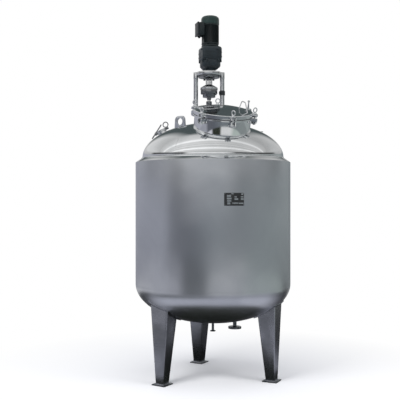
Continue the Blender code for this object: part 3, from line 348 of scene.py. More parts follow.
def ramp(tree, value, stops):
    """A colour ramp from (position, grey or colour) stops."""
    node = wire(tree, "ShaderNodeValToRGB", {"Fac": value})
    elements = node.color_ramp.elements
    while len(elements) < len(stops):
        elements.new(0.5)
    for element, (position, colour) in zip(elements, stops):
        element.position = position
        element.color = (*colour, 1.0) if isinstance(colour, tuple) else (colour,) * 3 + (1.0,)
    return node.outputs["Color"]


def remap(tree, value, start, end, low=0.0, high=1.0):
    """Map a value from start..end to low..high."""
    feeds = {"Value": value, "From Min": start, "From Max": end, "To Min": low, "To Max": high}
    return wire(tree, "ShaderNodeMapRange", feeds).outputs["Result"]


def spread(tree, value, low, high):
    """Map a value from 0..1 to low..high."""
    return remap(tree, value, 0.0, 1.0, low, high)


def maths(tree, operation, first, second):
    """A sum on two sockets or values."""
    return wire(tree, "ShaderNodeMath", {0: first, 1: second}, operation=operation).outputs[0]


def blend_colour(tree, share, first, second, mode="MIX"):
    """Mix two colours; the share and both colours can be sockets or values."""
    node = wire(tree, "ShaderNodeMix", data_type="RGBA", blend_type=mode)
    for index, value in ((0, share), (6, first), (7, second)):
        if isinstance(value, bpy.types.NodeSocket):
            tree.links.new(value, node.inputs[index])
        elif index:
            node.inputs[index].default_value = (*value, 1.0)
        else:
            node.inputs[index].default_value = value
    return node.outputs[2]


# %% [markdown]
# ## The steel's surface
#
# Sheet steel is never plain. It has the grain of its last belt or lathe tool, clouds where hands and
# cloths went over it, and a slow wave from rolling and welding, which bends what it reflects. One
# shared group gives these three as masks, and each steel uses them in its own strength.

# %% Shared group for metal
def group(name, sockets_in, sockets_out):
    """An empty node group with its sockets; returns its tree, input node and output node."""
    tree = bpy.data.node_groups.new(name, "ShaderNodeTree")
    for title, kind in sockets_in:
        tree.interface.new_socket(title, in_out="INPUT", socket_type=kind)
    for title in sockets_out:
        tree.interface.new_socket(title, in_out="OUTPUT", socket_type="NodeSocketFloat")
    return tree, tree.nodes.new("NodeGroupInput"), tree.nodes.new("NodeGroupOutput")


def metal_group():
    """Masks of bare steel: grain, clouds and the sheet's slow wave."""
    tree, inward, outward = group("metal_surface", (("Stretch", "NodeSocketVector"),
                                                    ("Cloud Scale", "NodeSocketFloat")),
                                  ("Grain", "Clouds", "Wave"))
    place = wire(tree, "ShaderNodeTexCoord").outputs["Object"]
    grain_place = wire(tree, "ShaderNodeMapping", {"Vector": place, "Scale": inward.outputs["Stretch"]})
    grain = wire(tree, "ShaderNodeTexNoise", {"Vector": grain_place.outputs["Vector"], "Scale": 1.0,
                                              "Detail": 3.0, "Roughness": 0.6})
    clouds = wire(tree, "ShaderNodeTexNoise", {"Vector": place, "Scale": inward.outputs["Cloud Scale"],
                                               "Detail": 4.0, "Roughness": 0.55, "Distortion": 0.6})
    cloud_mask = remap(tree, clouds.outputs["Fac"], 0.35, 0.68)
    wave = wire(tree, "ShaderNodeTexNoise", {"Vector": place, "Scale": 2.4, "Detail": 1.0})
    tree.links.new(grain.outputs["Fac"], outward.inputs["Grain"])
    tree.links.new(cloud_mask, outward.inputs["Clouds"])
    tree.links.new(wave.outputs["Fac"], outward.inputs["Wave"])
    return tree


METAL_SURFACE = metal_group()


def steel(name, bright, dull, smooth, rough, stretch, grain_depth, wave_depth=0.0, clouds=5.0):
    """A bare steel: colours and roughness vary between two values, grain runs across its stretch."""
    material, tree, shader = plain_material(name)
    surface = wire(tree, "ShaderNodeGroup", node_tree=METAL_SURFACE)
    surface.inputs["Stretch"].default_value = stretch
    surface.inputs["Cloud Scale"].default_value = clouds
    shader.inputs["Metallic"].default_value = 1.0
    colour = blend_colour(tree, surface.outputs["Clouds"], bright, dull)
    tree.links.new(colour, shader.inputs["Base Color"])
    both = maths(tree, "MULTIPLY", surface.outputs["Clouds"], surface.outputs["Grain"])
    tree.links.new(spread(tree, both, smooth, rough), shader.inputs["Roughness"])
    grain = wire(tree, "ShaderNodeBump", {"Height": surface.outputs["Grain"], "Strength": 0.35,
                                          "Distance": grain_depth})
    normal = grain.outputs["Normal"]
    if wave_depth:
        wave = wire(tree, "ShaderNodeBump", {"Height": surface.outputs["Wave"], "Strength": 1.0,
                                             "Distance": wave_depth, "Normal": normal})
        normal = wave.outputs["Normal"]
    tree.links.new(normal, shader.inputs["Normal"])
    return material


SATIN = steel("satin sheet", (0.60, 0.62, 0.65), (0.53, 0.55, 0.585), 0.28, 0.42, (2.0, 2.0, 260.0), 0.0002,
              0.010, 2.2)
POLISHED = steel("polished sheet", (0.80, 0.81, 0.82), (0.70, 0.72, 0.73), 0.06, 0.20, (3.0, 3.0, 160.0),
                 0.00005, 0.004, 4.0)
BRIGHT = steel("turned bar", (0.74, 0.75, 0.76), (0.60, 0.61, 0.62), 0.14, 0.32, (40.0, 40.0, 900.0), 0.0001,
               0.0, 18.0)
# Painted shade: the bottom pipes get a much darker copy of the turned bar, for the shade under the tank.
SHADED_PIPE_STEEL = steel("pipe", (0.20, 0.21, 0.22), (0.12, 0.125, 0.13), 0.18, 0.34, (40.0, 40.0, 900.0), 0.0001,
                   0.0, 18.0)
# Painted shade: the legs and foot plates get a darker steel than the sheet, for the shade they stand in
# under the tank.
SHADED_LEG_STEEL = steel("leg plate in painted shade", (0.38, 0.39, 0.42), (0.25, 0.258, 0.275), 0.24, 0.38, (2.0, 2.0, 260.0),
                  0.0002, 0.004, 4.0)
print("steels made")

# %% [markdown]
# ## Paint and castings
#
# The motor and gearbox are painted castings. Enamel on cast metal shows a fine orange peel, a dulled
# clear gloss and a little dust that lies where air is still. Again one group makes the masks.

# %% Paint
def paint_group():
    """Masks of enamel: orange peel, clouds and dust on what faces up."""
    tree, inward, outward = group("paint_surface", (("Peel Scale", "NodeSocketFloat"),
                                                    ("Cloud Scale", "NodeSocketFloat")),
                                  ("Peel", "Clouds", "Dust"))
    place = wire(tree, "ShaderNodeTexCoord").outputs["Object"]
    peel = wire(tree, "ShaderNodeTexNoise", {"Vector": place, "Scale": inward.outputs["Peel Scale"],
                                             "Detail": 2.0})
    clouds = wire(tree, "ShaderNodeTexNoise", {"Vector": place, "Scale": inward.outputs["Cloud Scale"],
                                               "Detail": 5.0, "Roughness": 0.6})
    mask = remap(tree, clouds.outputs["Fac"], 0.35, 0.7)
    upward = wire(tree, "ShaderNodeSeparateXYZ",
                  {"Vector": wire(tree, "ShaderNodeNewGeometry").outputs["Normal"]}).outputs["Z"]
    dust = maths(tree, "MULTIPLY", remap(tree, upward, 0.2, 1.0), mask)
    tree.links.new(peel.outputs["Fac"], outward.inputs["Peel"])
    tree.links.new(mask, outward.inputs["Clouds"])
    tree.links.new(dust, outward.inputs["Dust"])
    return tree


PAINT_SURFACE = paint_group()
DUST_COLOUR = (0.30, 0.29, 0.27)


def paint(name, colour, shade, gloss, dull, peel_scale, peel_depth, dust=0.35, metallic=0.0, coat=0.0):
    """A painted or cast surface with peel, clouds and dust."""
    material, tree, shader = plain_material(name)
    surface = wire(tree, "ShaderNodeGroup", node_tree=PAINT_SURFACE)
    surface.inputs["Peel Scale"].default_value = peel_scale
    surface.inputs["Cloud Scale"].default_value = 14.0
    shader.inputs["Metallic"].default_value = metallic
    shader.inputs["Coat Weight"].default_value = coat
    shader.inputs["Coat Roughness"].default_value = 0.15
    base = blend_colour(tree, surface.outputs["Clouds"], colour, shade)
    share = spread(tree, surface.outputs["Dust"], 0.0, dust)
    tree.links.new(blend_colour(tree, share, base, DUST_COLOUR), shader.inputs["Base Color"])
    tree.links.new(spread(tree, surface.outputs["Clouds"], gloss, dull), shader.inputs["Roughness"])
    bump = wire(tree, "ShaderNodeBump", {"Height": surface.outputs["Peel"], "Strength": 0.5,
                                         "Distance": peel_depth})
    tree.links.new(bump.outputs["Normal"], shader.inputs["Normal"])
    return material


MOTOR_GREEN = paint("green enamel", (0.003, 0.007, 0.008), (0.002, 0.005, 0.006), 0.30, 0.44, 260.0, 0.0004,
                    0.12, coat=0.05)
COWL_GREEN = paint("cowl enamel", (0.005, 0.019, 0.017), (0.004, 0.013, 0.012), 0.30, 0.44, 260.0, 0.0004,
                   0.12, coat=0.05)
GEAR_SLATE = paint("slate enamel", (0.007, 0.013, 0.017), (0.005, 0.009, 0.012), 0.34, 0.50, 180.0, 0.0008,
                   0.12, coat=0.05)
LID_GREY = paint("grey enamel", (0.010, 0.013, 0.015), (0.007, 0.009, 0.011), 0.40, 0.54, 260.0, 0.0004,
                 0.12)
DARK_CAST = paint("dark casting", (0.30, 0.305, 0.315), (0.20, 0.205, 0.215), 0.14, 0.26, 320.0, 0.0004,
                  0.05, metallic=1.0)
BLACK_RUBBER = paint("black rubber", (0.012, 0.012, 0.012), (0.020, 0.020, 0.020), 0.55, 0.75, 400.0, 0.0003,
                     0.2)
print("paints made")

# %% [markdown]
# ## Jacket
#
# The jacket is the outer skin: a rolled sheet welded to a dished end below and closed by a sloping
# ring above. On the real tank the two long seams are ground flush. Each is a profile spun about the
# tank's axis, with a real wall, because the inside shows through the manhole when the cover is open.

# %% Jacket shell, lower head and shoulder
low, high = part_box("jacket_shell")
JACKET_RADIUS = high.x
JACKET_WALL = 0.005
JACKET_BOTTOM = low.z
JACKET_TOP = high.z
vessel_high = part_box("vessel_shell")[1]
VESSEL_RADIUS = vessel_high.x
VESSEL_WALL = 0.006
VESSEL_TOP = vessel_high.z
JACKET_LOWEST = heights("jacket_head")[0]
JACKET_DEPTH = JACKET_BOTTOM - JACKET_LOWEST


def head_line(radius, depth, rim, steps, side=1):
    """(r, z) points of a dished end, from its rim to its pole."""
    turns = [pi / 2 * step / steps for step in range(steps + 1)]
    line = [(radius * cos(turn), rim + side * depth * sin(turn)) for turn in turns]
    line[-1] = (0.0, line[-1][1])
    return line


shell = pipe(JACKET_RADIUS, JACKET_RADIUS - JACKET_WALL, JACKET_BOTTOM, JACKET_TOP, 0.0008, FINE)
finish("jacket_sheet", shell, SATIN, nodes=["jacket_shell"])
print("jacket radius", round(JACKET_RADIUS, 4), "from", round(JACKET_BOTTOM, 3), "to", round(JACKET_TOP, 3))

# %% [markdown]
# The lower dish is cut where the drain and the outlet come through. The pipes close the holes again,
# so the cut edge never shows from outside.

# %% Lower dish
HEAD_STEPS = 26
DRAIN_BORE = 0.009
OUTLET_BORE = 0.014
PIPE_GROUND = 0.002


def pipe_bores():
    """Cutters for the holes that the two bottom pipes pass through."""
    cutters = []
    for node, radius in (("drain_nozzle", DRAIN_BORE), ("outlet_nozzle", OUTLET_BORE)):
        top = heights(node)[1]
        hole = drum(radius + PIPE_GROUND, JACKET_LOWEST - 0.05, top + 0.05, 0, MIDDLING)
        cutters.append(placed(hole, centre_of(node)))
    return cutters


def closed_dish(radius, depth, wall, rim, side, steps=HEAD_STEPS):
    """A dished end with a wall, open at its rim only where the wall's edge is."""
    outer = head_line(radius, depth, rim, steps, side)
    inner = head_line(radius - wall, depth - wall, rim, steps, side)
    return turned(outer[::-1] + inner, FINE)


lower = closed_dish(JACKET_RADIUS, JACKET_DEPTH, JACKET_WALL, JACKET_BOTTOM, -1)
lower = cut(lower, *pipe_bores())
finish("jacket_dish", lower, SATIN, nodes=["jacket_head"])

# %% [markdown]
# The shoulder is a short cone between the jacket and the vessel. It is polished with the upper head,
# and a ground weld runs along its inner edge.

# %% Shoulder and its weld
SHOULDER_WALL = 0.005
WELD_ROD = 0.0022
shoulder = [(VESSEL_RADIUS, VESSEL_TOP), (JACKET_RADIUS, JACKET_TOP),
            (JACKET_RADIUS - SHOULDER_WALL, JACKET_TOP), (VESSEL_RADIUS, VESSEL_TOP - SHOULDER_WALL)]
ring = hollow(shoulder, 0.0015, FINE)
weld = torus(VESSEL_RADIUS + 0.001, WELD_ROD, FINE, 8)
add(ring, weld, move(z=VESSEL_TOP + 0.001))
finish("shoulder_ring", ring, POLISHED, nodes=["jacket_shoulder"])

# %% [markdown]
# ## Vessel and upper head
#
# The upper head is the brightest piece: a mirror-polished dished end. Its reflections depend on
# the curve alone, so it is spun finely. The manhole, the drive neck, the port and the vent go
# through it, and their holes are cut with the same bores as the necks.

# %% Frames on the upper head
HEAD_DEPTH = heights("top_head")[1] - VESSEL_TOP
MANHOLE_AZIMUTH = 12.3
MANHOLE_OFFSET = 0.337
PORT_AZIMUTH = -101.0
PORT_OFFSET = 0.450


def round_tank(azimuth, radius):
    """X and Y of a place round the tank, its front at 0 degrees."""
    return radius * sin(radians(azimuth)), -radius * cos(radians(azimuth))


def head_height(x, y):
    """Height of the upper head's outside over a place in plan."""
    return VESSEL_TOP + HEAD_DEPTH * sqrt(1 - (x * x + y * y) / VESSEL_RADIUS ** 2)


def head_frame(azimuth, offset):
    """Matrix on the head, its Z square to the surface and its -Y downhill."""
    x, y = round_tank(azimuth, offset)
    slope = HEAD_DEPTH * offset / (VESSEL_RADIUS ** 2 * sqrt(1 - (offset / VESSEL_RADIUS) ** 2))
    return move(x, y, head_height(x, y)) @ turn(azimuth) @ turn(degrees(atan(slope)), "X")


def drop_to_head(place, x, y):
    """Height in a frame at which a line along its Z meets the upper head."""
    shrink = Matrix.Diagonal((1 / VESSEL_RADIUS, 1 / VESSEL_RADIUS, 1 / HEAD_DEPTH))
    start = shrink @ (place @ Vector((x, y, 0)) - Vector((0, 0, VESSEL_TOP)))
    way = shrink @ (place.to_3x3() @ AXIS)
    a, b, c = way.dot(way), start.dot(way), start.dot(start) - 1
    return (-b + sqrt(b * b - a * c)) / a


MANHOLE = head_frame(MANHOLE_AZIMUTH, MANHOLE_OFFSET)
PORT = head_frame(PORT_AZIMUTH, PORT_OFFSET)
VENT = centre_of("vent_nozzle")
DRIVE = centre_of("drive_neck")
neck_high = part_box("drive_neck")[1]
print("manhole axis", [round(value, 4) for value in MANHOLE.to_3x3() @ AXIS])

# %% [markdown]
# A neck that stands on a dome ends in a saddle curve. `saddle` spins a straight pipe and then drops
# its lower rim onto the dome, vertex by vertex, along the pipe's own axis. `weld_ring` lays a bead on
# the same curve.

# %% Necks on the dome
def saddle(place, outer, inner, top, steps=MIDDLING, edge=0.001):
    """A pipe that stands on the head, with its lower rim on the dome."""
    shape = pipe(outer, inner, 0.0, top, edge, steps)
    for vert in shape.verts:
        if vert.co.z < top / 2:
            vert.co.z = drop_to_head(place, vert.co.x, vert.co.y) - 0.002 + vert.co.z
    return placed(shape, place)


def weld_ring(place, radius, rod, steps=MIDDLING):
    """A weld bead where a pipe meets the dome."""
    points = []
    for step in range(steps):
        angle = 2 * pi * step / steps
        x, y = radius * cos(angle), radius * sin(angle)
        points.append(place @ Vector((x, y, drop_to_head(place, x, y))))
    return bar(points, rod, closed=True)


def well(place, radius, depth, height):
    """Cutter for a neck's bore through the head."""
    return placed(drum(radius, -depth, height, 0, FINE), place)


# %% [markdown]
# Here the head itself is spun and cut. A narrow ground seam runs up from its rim on the left of
# the manhole, as it does where a dished end is pressed from two halves.

# %% Upper head
MANHOLE_RADIUS = 0.238
MANHOLE_WALL = 0.006
MANHOLE_HEIGHT = 0.085
PORT_RADIUS = 0.040
PORT_WALL = 0.003
VENT_RADIUS = 0.0135
VENT_WALL = 0.0025
DRIVE_NECK_RADIUS = neck_high.x - DRIVE.to_translation().x
DRIVE_NECK_WALL = 0.006
SEAM_AZIMUTH = -31.0

head = closed_dish(VESSEL_RADIUS, HEAD_DEPTH, VESSEL_WALL, VESSEL_TOP, 1, 40)
head = cut(head, well(MANHOLE, MANHOLE_RADIUS - MANHOLE_WALL, 0.2, 0.1),
           well(PORT, PORT_RADIUS - PORT_WALL, 0.05, 0.1),
           well(VENT @ move(z=2.1), VENT_RADIUS - VENT_WALL, 0.1, 0.1),
           well(DRIVE @ move(z=2.1), DRIVE_NECK_RADIUS - DRIVE_NECK_WALL, 0.1, 0.3))
finish("upper_head", head, POLISHED, nodes=["top_head"])

# %% [markdown]
# The inner vessel is seen only through the open manhole: a straight shell and a lower dish like the
# jacket's, both polished.

# %% Inner vessel
VESSEL_LOWEST = heights("vessel_bottom")[0]
shell = pipe(VESSEL_RADIUS, VESSEL_RADIUS - VESSEL_WALL, JACKET_BOTTOM, VESSEL_TOP, 0.0008, FINE)
finish("vessel_sheet", shell, POLISHED, nodes=["vessel_shell"])
lower = closed_dish(VESSEL_RADIUS, JACKET_BOTTOM - VESSEL_LOWEST, VESSEL_WALL, JACKET_BOTTOM, -1)
lower = cut(lower, *pipe_bores())
finish("vessel_dish", lower, POLISHED, nodes=["vessel_bottom"])

# %% [markdown]
# ## Legs
#
# Each leg is folded from plate: square in section, wide at the top and narrow at the foot, with a
# bend radius along its four corners. It stands on a square foot plate and carries the dish through
# a pad that follows the dish's curve. The leg's top is cut with the jacket's own volume.

# %% Leg sizes and the jacket's volume
LEGS = (("front_left", -32.0), ("right", -26.0), ("rear", -30.0))
LEG_FOOT_WIDTH = 0.083
LEG_TOP_WIDTH = 0.176
LEG_TOP_HEIGHT = 0.700
LEG_BEND = 0.009
LEG_TOP_CIRCLE = 0.515
LEG_FOOT_CIRCLE = 0.540
PAD_WIDTH = 0.205
PAD_THICK = 0.008
PAD_CORNER = 0.012


def jacket_volume(grow):
    """The jacket's lower half as a solid, grown by a clearance."""
    lower = head_line(JACKET_RADIUS + grow, JACKET_DEPTH + grow, JACKET_BOTTOM, HEAD_STEPS, -1)
    return turned([(0, JACKET_TOP), (JACKET_RADIUS + grow, JACKET_TOP)] + lower, FINE)


def leg_column(spot, yaw):
    """A tapered column from the foot plate into the jacket, in world place."""
    shape = bmesh.new()
    bmesh.ops.create_cube(shape, size=1.0)
    bottom = heights("foot_plate_front_left")[1]
    lean = spot * (LEG_TOP_CIRCLE / LEG_FOOT_CIRCLE - 1)
    for vert in shape.verts:
        upper = vert.co.z > 0
        width = LEG_TOP_WIDTH if upper else LEG_FOOT_WIDTH
        height = LEG_TOP_HEIGHT if upper else bottom
        vert.co = turn(yaw) @ Vector((vert.co.x * width, vert.co.y * width, height))
        vert.co += spot + (lean if upper else Vector((0, 0, 0)))
    soften(shape, upright_edges(shape, 0.3), LEG_BEND, 5)
    return shape


def curved_pad(spot, yaw):
    """A square pad that follows the lower dish, with rounded corners."""
    outline = []
    half = PAD_WIDTH / 2 - PAD_CORNER
    for x, z, start in ((half, half, 0), (-half, half, 90), (-half, -half, 180), (half, -half, 270)):
        outline += arc((x, z), PAD_CORNER, start, start + 90, 4)
    post = plate(outline, LEG_TOP_HEIGHT, 0)
    post.transform(Matrix.Translation(spot + Vector((0, 0, LEG_TOP_HEIGHT))) @ turn(yaw) @ turn(90, "X"))
    pad = cut(post, jacket_volume(PAD_THICK), operation="INTERSECT")
    return cut(pad, jacket_volume(0.0))


# %% [markdown]
# The foot plates are cut square with slightly broken corners, and a fillet weld runs round the foot
# of each leg.

# %% Legs and foot plates
FOOT_WELD = 0.004
for name, yaw in LEGS:
    foot_low, foot_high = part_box("foot_plate_" + name)
    spot = centre_of("foot_plate_" + name).to_translation()
    top = spot * (LEG_TOP_CIRCLE / LEG_FOOT_CIRCLE)
    leg = cut(leg_column(spot, yaw), jacket_volume(0.0))
    add(leg, curved_pad(top, yaw))
    half = LEG_FOOT_WIDTH / 2
    corners = [(half, half), (-half, half), (-half, -half), (half, -half)]
    bead = bar([turn(yaw) @ Vector((x, y, foot_high.z)) + spot for x, y in corners], FOOT_WELD, closed=True)
    add(leg, bead)
    finish("leg_sheet_" + name, leg, SHADED_LEG_STEEL, nodes=["leg_" + name])
    side = (foot_high.x - foot_low.x) / (abs(cos(radians(yaw))) + abs(sin(radians(yaw))))
    sole = block((side, side, foot_high.z), 0.0012)
    finish("foot_sole_" + name, sole, SHADED_LEG_STEEL, nodes=["foot_plate_" + name],
           at=move(spot.x, spot.y, foot_high.z / 2) @ turn(yaw))

# %% [markdown]
# ## Manhole
#
# The manhole neck is a short pipe of polished sheet. It stands square to the dome, so it leans
# toward whoever opens it. The weld at its foot is ground but left proud, and it catches the light.

# %% Manhole neck
GAP = 0.0003
FLANGE_RADIUS = 0.250
FLANGE_THICK = 0.012
NECK_WELD = 0.0045
neck = saddle(MANHOLE, MANHOLE_RADIUS, MANHOLE_RADIUS - MANHOLE_WALL, MANHOLE_HEIGHT - GAP, FINE)
add(neck, weld_ring(MANHOLE, MANHOLE_RADIUS, NECK_WELD, FINE))
finish("manhole_pipe", neck, POLISHED, nodes=["manhole_neck"])

# %% [markdown]
# Five swing bolts hold the cover. Each one turns on a pin between two lugs under the flange, and lies
# in a fork on the cover's rim. The sixth place of the ring is taken by the hinge. `spoke` gives
# the place of each fitting, with X pointing out from the middle of the manhole.

# %% Flange, lugs and hinge ears
BOLT_ANGLES = (-26.0, 87.0, 140.0, 216.0, 274.0)
HINGE_ANGLE = 27.0
BOLT_CIRCLE = 0.269
PIN_DROP = 0.040
FORK_SLOT = 0.026
LUG_THICK = 0.010
COVER_SEAT = MANHOLE_HEIGHT + 0.0043
COVER_RIM = 0.034
FORK_THICK = 0.022
FORK_MIDDLE = COVER_SEAT + COVER_RIM / 2
FORK_TOP = FORK_MIDDLE + FORK_THICK / 2
HINGE_CIRCLE = 0.287
HINGE_EYE = 0.016
ARM_WIDTH = 0.026
EAR_THICK = 0.009
PIN_HOLE = 0.0073
LYING = turn(90, "X")


def spoke(angle, radius=0.0, height=0.0):
    """Matrix to a place round the manhole, its X pointing out."""
    return MANHOLE @ turn(angle) @ move(radius, 0, height)


def lug_outline():
    """Side view of a lug plate under the flange."""
    corner = arc((0.273, 0.053), 0.018, 0, -90, 8)
    return [(0.2385, 0.046), (0.2385, 0.081), (0.289, 0.081), (0.291, 0.079)] + corner


def ear_outline():
    """Side view of a hinge ear."""
    crest = arc((HINGE_CIRCLE, FORK_MIDDLE), HINGE_EYE, 0, 165, 14)
    return [(0.261, 0.061), (0.300, 0.061), (0.303, 0.064)] + crest + [(0.259, 0.088), (0.259, 0.063)]


flange = pipe(FLANGE_RADIUS, MANHOLE_RADIUS + GAP, MANHOLE_HEIGHT - FLANGE_THICK, MANHOLE_HEIGHT - GAP,
              0.002, FINE)
flange.transform(MANHOLE)
pin_height = MANHOLE_HEIGHT - PIN_DROP
for angle in BOLT_ANGLES:
    spot = spoke(angle)
    for side in (-1, 1):
        add(flange, plate(lug_outline(), LUG_THICK), spot, move(y=side * (FORK_SLOT + LUG_THICK) / 2))
    add(flange, drum(0.006, -0.0255, 0.0255, 0.001), spot, move(BOLT_CIRCLE, 0, pin_height), LYING)
    add(flange, drum(0.0095, 0.023, 0.0265, 0.0008), spot, move(BOLT_CIRCLE, 0, pin_height), LYING)
spot = spoke(HINGE_ANGLE)
for side in (-1, 1):
    shift = side * ((ARM_WIDTH + EAR_THICK) / 2 + 0.0015)
    hole = placed(drum(PIN_HOLE, -0.02, 0.02, 0, MIDDLING), move(HINGE_CIRCLE, 0, FORK_MIDDLE) @ LYING)
    add(flange, cut(plate(ear_outline(), EAR_THICK), hole), spot, move(y=shift))
    add(flange, block((0.030, 0.0072, 0.009), 0.001), spot,
        move(0.254, shift, MANHOLE_HEIGHT - FLANGE_THICK / 2))
finish("manhole_flange_ring", flange, POLISHED, nodes=["manhole_flange"])

gasket = pipe(0.2435, 0.2325, MANHOLE_HEIGHT, MANHOLE_HEIGHT + 0.004, 0.0012, FINE)
finish("manhole_seal", gasket, BLACK_RUBBER, nodes=["manhole_gasket"], at=MANHOLE)

# %% [markdown]
# A swing bolt is an eye on a threaded shank. The thread is a saw-tooth line spun about the bolt: at
# this pitch nobody can see that it isn't a helix, and it needs a fraction of the faces.

# %% Swing bolts
THREAD_PITCH = 0.0025
THREAD_DEPTH = 0.0008
BOLT_RADIUS = 0.007


def thread(radius, bottom, top, pitch=THREAD_PITCH, depth=THREAD_DEPTH, steps=20):
    """A threaded rod that stands on Z."""
    turns = int((top - bottom) / pitch)
    line = [(0, bottom)]
    for number in range(turns):
        line += [(radius - depth, bottom + pitch * number), (radius, bottom + pitch * (number + 0.5))]
    line += [(radius - depth, bottom + pitch * turns), (0, bottom + pitch * turns)]
    return turned(line, steps)


shank_top = FORK_TOP - 0.0043 - pin_height
for number, angle in enumerate(BOLT_ANGLES, 1):
    bolt = pipe(0.014, 0.0063, -0.008, 0.008, 0.0015, 32)
    bolt.transform(LYING)
    add(bolt, drum(BOLT_RADIUS, 0.012, 0.026, 0.001))
    add(bolt, thread(BOLT_RADIUS, 0.025, shank_top))
    finish(f"swing_bolt_forged_{number}", bolt, BRIGHT, nodes=[f"swing_bolt_{number}"],
           at=spoke(angle, BOLT_CIRCLE, pin_height))

# %% [markdown]
# ## Cover
#
# The cover is pressed from one sheet: a low crown, a round shoulder and a straight rim. Five forks
# are welded to the rim, and an eye nut stands on each, with its ring left at any angle.

# %% Cover with its forks and eye nuts
COVER_RADIUS = 0.249
COVER_WALL = 0.008
COVER_CROWN = 0.034
COVER_SHOULDER = 0.006
RING_RADIUS = 0.0185
RING_ROD = 0.0048
NUT_HEIGHT = 0.018
RING_TURNS = (50.0, 80.0, 28.0, 75.0, 30.0)
rim_top = COVER_SEAT + COVER_RIM


def crown_height(radius, edge=COVER_RADIUS - COVER_SHOULDER):
    """Height of the cover's crown at a distance from its middle."""
    return rim_top + COVER_CROWN * (1 - (radius / edge) ** 2)


def eye_nut(ring_turn, height=NUT_HEIGHT):
    """A forged nut with a ring on top."""
    profile = [(0, height), (0.010, height), (0.0135, height - 0.006), (0.017, 0.010), (0.017, 0.0025),
               (0.0195, 0.0025), (0.0195, 0), (0, 0)]
    shape = turned(rounded(profile, 0.0022), 32)
    add(shape, torus(RING_RADIUS, RING_ROD), move(z=height + RING_RADIUS), turn(ring_turn), LYING)
    return shape


edge = COVER_RADIUS - COVER_SHOULDER
inner = COVER_RADIUS - 2 * COVER_WALL
outside = [(edge * step / 30, crown_height(edge * step / 30)) for step in range(31)]
inside = [(inner * step / 20, crown_height(inner * step / 20, inner) - COVER_WALL) for step in range(21)]
shoulder = arc((edge, rim_top - COVER_SHOULDER), COVER_SHOULDER, 74, 0, 6)
profile = outside + shoulder + [(COVER_RADIUS, COVER_SEAT + 0.001), (COVER_RADIUS - 0.001, COVER_SEAT),
                                (inner, COVER_SEAT)] + inside[::-1]
cover = turned(profile, FINE)
cover.transform(MANHOLE)
for angle, ring_turn in zip(BOLT_ANGLES, RING_TURNS):
    spot = spoke(angle)
    fork = placed(block((0.048, 0.054, FORK_THICK), 0.004, 3), move(0.267, 0, FORK_MIDDLE))
    slot = placed(block((0.044, FORK_SLOT, 0.05), 0), move(BOLT_CIRCLE + 0.022, 0, FORK_MIDDLE))
    round_end = placed(drum(FORK_SLOT / 2, -0.025, 0.025, 0, MIDDLING), move(BOLT_CIRCLE, 0, FORK_MIDDLE))
    add(cover, cut(fork, slot, round_end), spot)
    add(cover, eye_nut(ring_turn), spot, move(BOLT_CIRCLE, 0, FORK_TOP))
finish("cover_dish", cover, POLISHED, "cover", ["manhole_cover"])

# %% [markdown]
# The hinge arm carries a ball knob that keeps the open cover off the neck. The handle is a bent rod,
# welded to the crown at both ends.

# %% Cover hinge and handle
arm = block((HINGE_CIRCLE - COVER_RADIUS, ARM_WIDTH, 0.020), 0.002)
arm.transform(move(-(HINGE_CIRCLE - COVER_RADIUS) / 2 + 0.0002))
add(arm, drum(HINGE_EYE, -ARM_WIDTH / 2, ARM_WIDTH / 2, 0.0015, MIDDLING), LYING)
arm = cut(arm, placed(drum(PIN_HOLE, -0.03, 0.03, 0, MIDDLING), LYING))
ball = arc((0, 0.076), 0.010, 90, -52, 12)
stem = [(0.0058, 0.064), (0.0055, 0.058), (0.0072, 0.030), (0.0105, 0.016), (0.0105, 0.0135), (0, 0.0135)]
add(arm, turned([(0, 0.086)] + ball[1:] + stem, SMALL), move(x=-0.004))
finish("hinge_arm_with_knob", arm, BRIGHT, "cover", ["cover_hinge_arm"],
       at=spoke(HINGE_ANGLE, HINGE_CIRCLE, FORK_MIDDLE))

pin = drum(0.007, -0.029, 0.029, 0.0012)
add(pin, drum(0.0105, -0.0290, -0.0255, 0.0012))
add(pin, drum(0.0105, 0.0255, 0.0290, 0.0012))
finish("hinge_pin_turned", pin, BRIGHT, nodes=["hinge_pin"],
       at=spoke(HINGE_ANGLE, HINGE_CIRCLE, FORK_MIDDLE) @ LYING)

HANDLE_ROD = 0.0042
HANDLE_CORNER = Vector((0.030, 0, 0.070))
HANDLE_SLANT = Vector((0.040, 0, -0.070))
HANDLE_BEND = 0.014
HANDLE_FRAME = turn(-19) @ move(x=0.165) @ turn(-57)
HANDLE_LEVEL = rim_top + COVER_CROWN - 0.019


def handle_foot():
    """Share of the slanted leg at which it meets the crown, found by bisection."""
    low, high = 0.5, 1.5
    for _ in range(20):
        share = (low + high) / 2
        foot = HANDLE_CORNER + HANDLE_SLANT * share
        spot = HANDLE_FRAME @ foot
        if HANDLE_LEVEL + foot.z > crown_height(Vector((spot.x, spot.y)).length):
            low = share
        else:
            high = share
    return share


foot = HANDLE_CORNER + HANDLE_SLANT * handle_foot()
before = HANDLE_CORNER + HANDLE_SLANT.normalized() * HANDLE_BEND
after = HANDLE_CORNER - Vector((HANDLE_BEND, 0, 0))
half = [foot]
for step in range(9):
    share = step / 8
    half.append(before.lerp(HANDLE_CORNER, share).lerp(HANDLE_CORNER.lerp(after, share), share))
route = [Vector((-point.x, 0, point.z)) for point in half] + half[::-1]
handle = bar(route, HANDLE_ROD)
for side in (-1, 1):
    add(handle, torus(HANDLE_ROD, 0.0018, 20, 8), move(side * foot.x, 0, foot.z))
handle.transform(move(z=HANDLE_LEVEL))
finish("cover_handle_bar", handle, BRIGHT, "cover", ["cover_handle"],
       at=MANHOLE @ HANDLE_FRAME)

# %% [markdown]
# ## Drive stand
#
# The agitator drive stands on an upright neck in the middle of the dome. A flange with eight bolts
# closes the neck, two posts carry the top plate, and the open space between them shows the coupling.

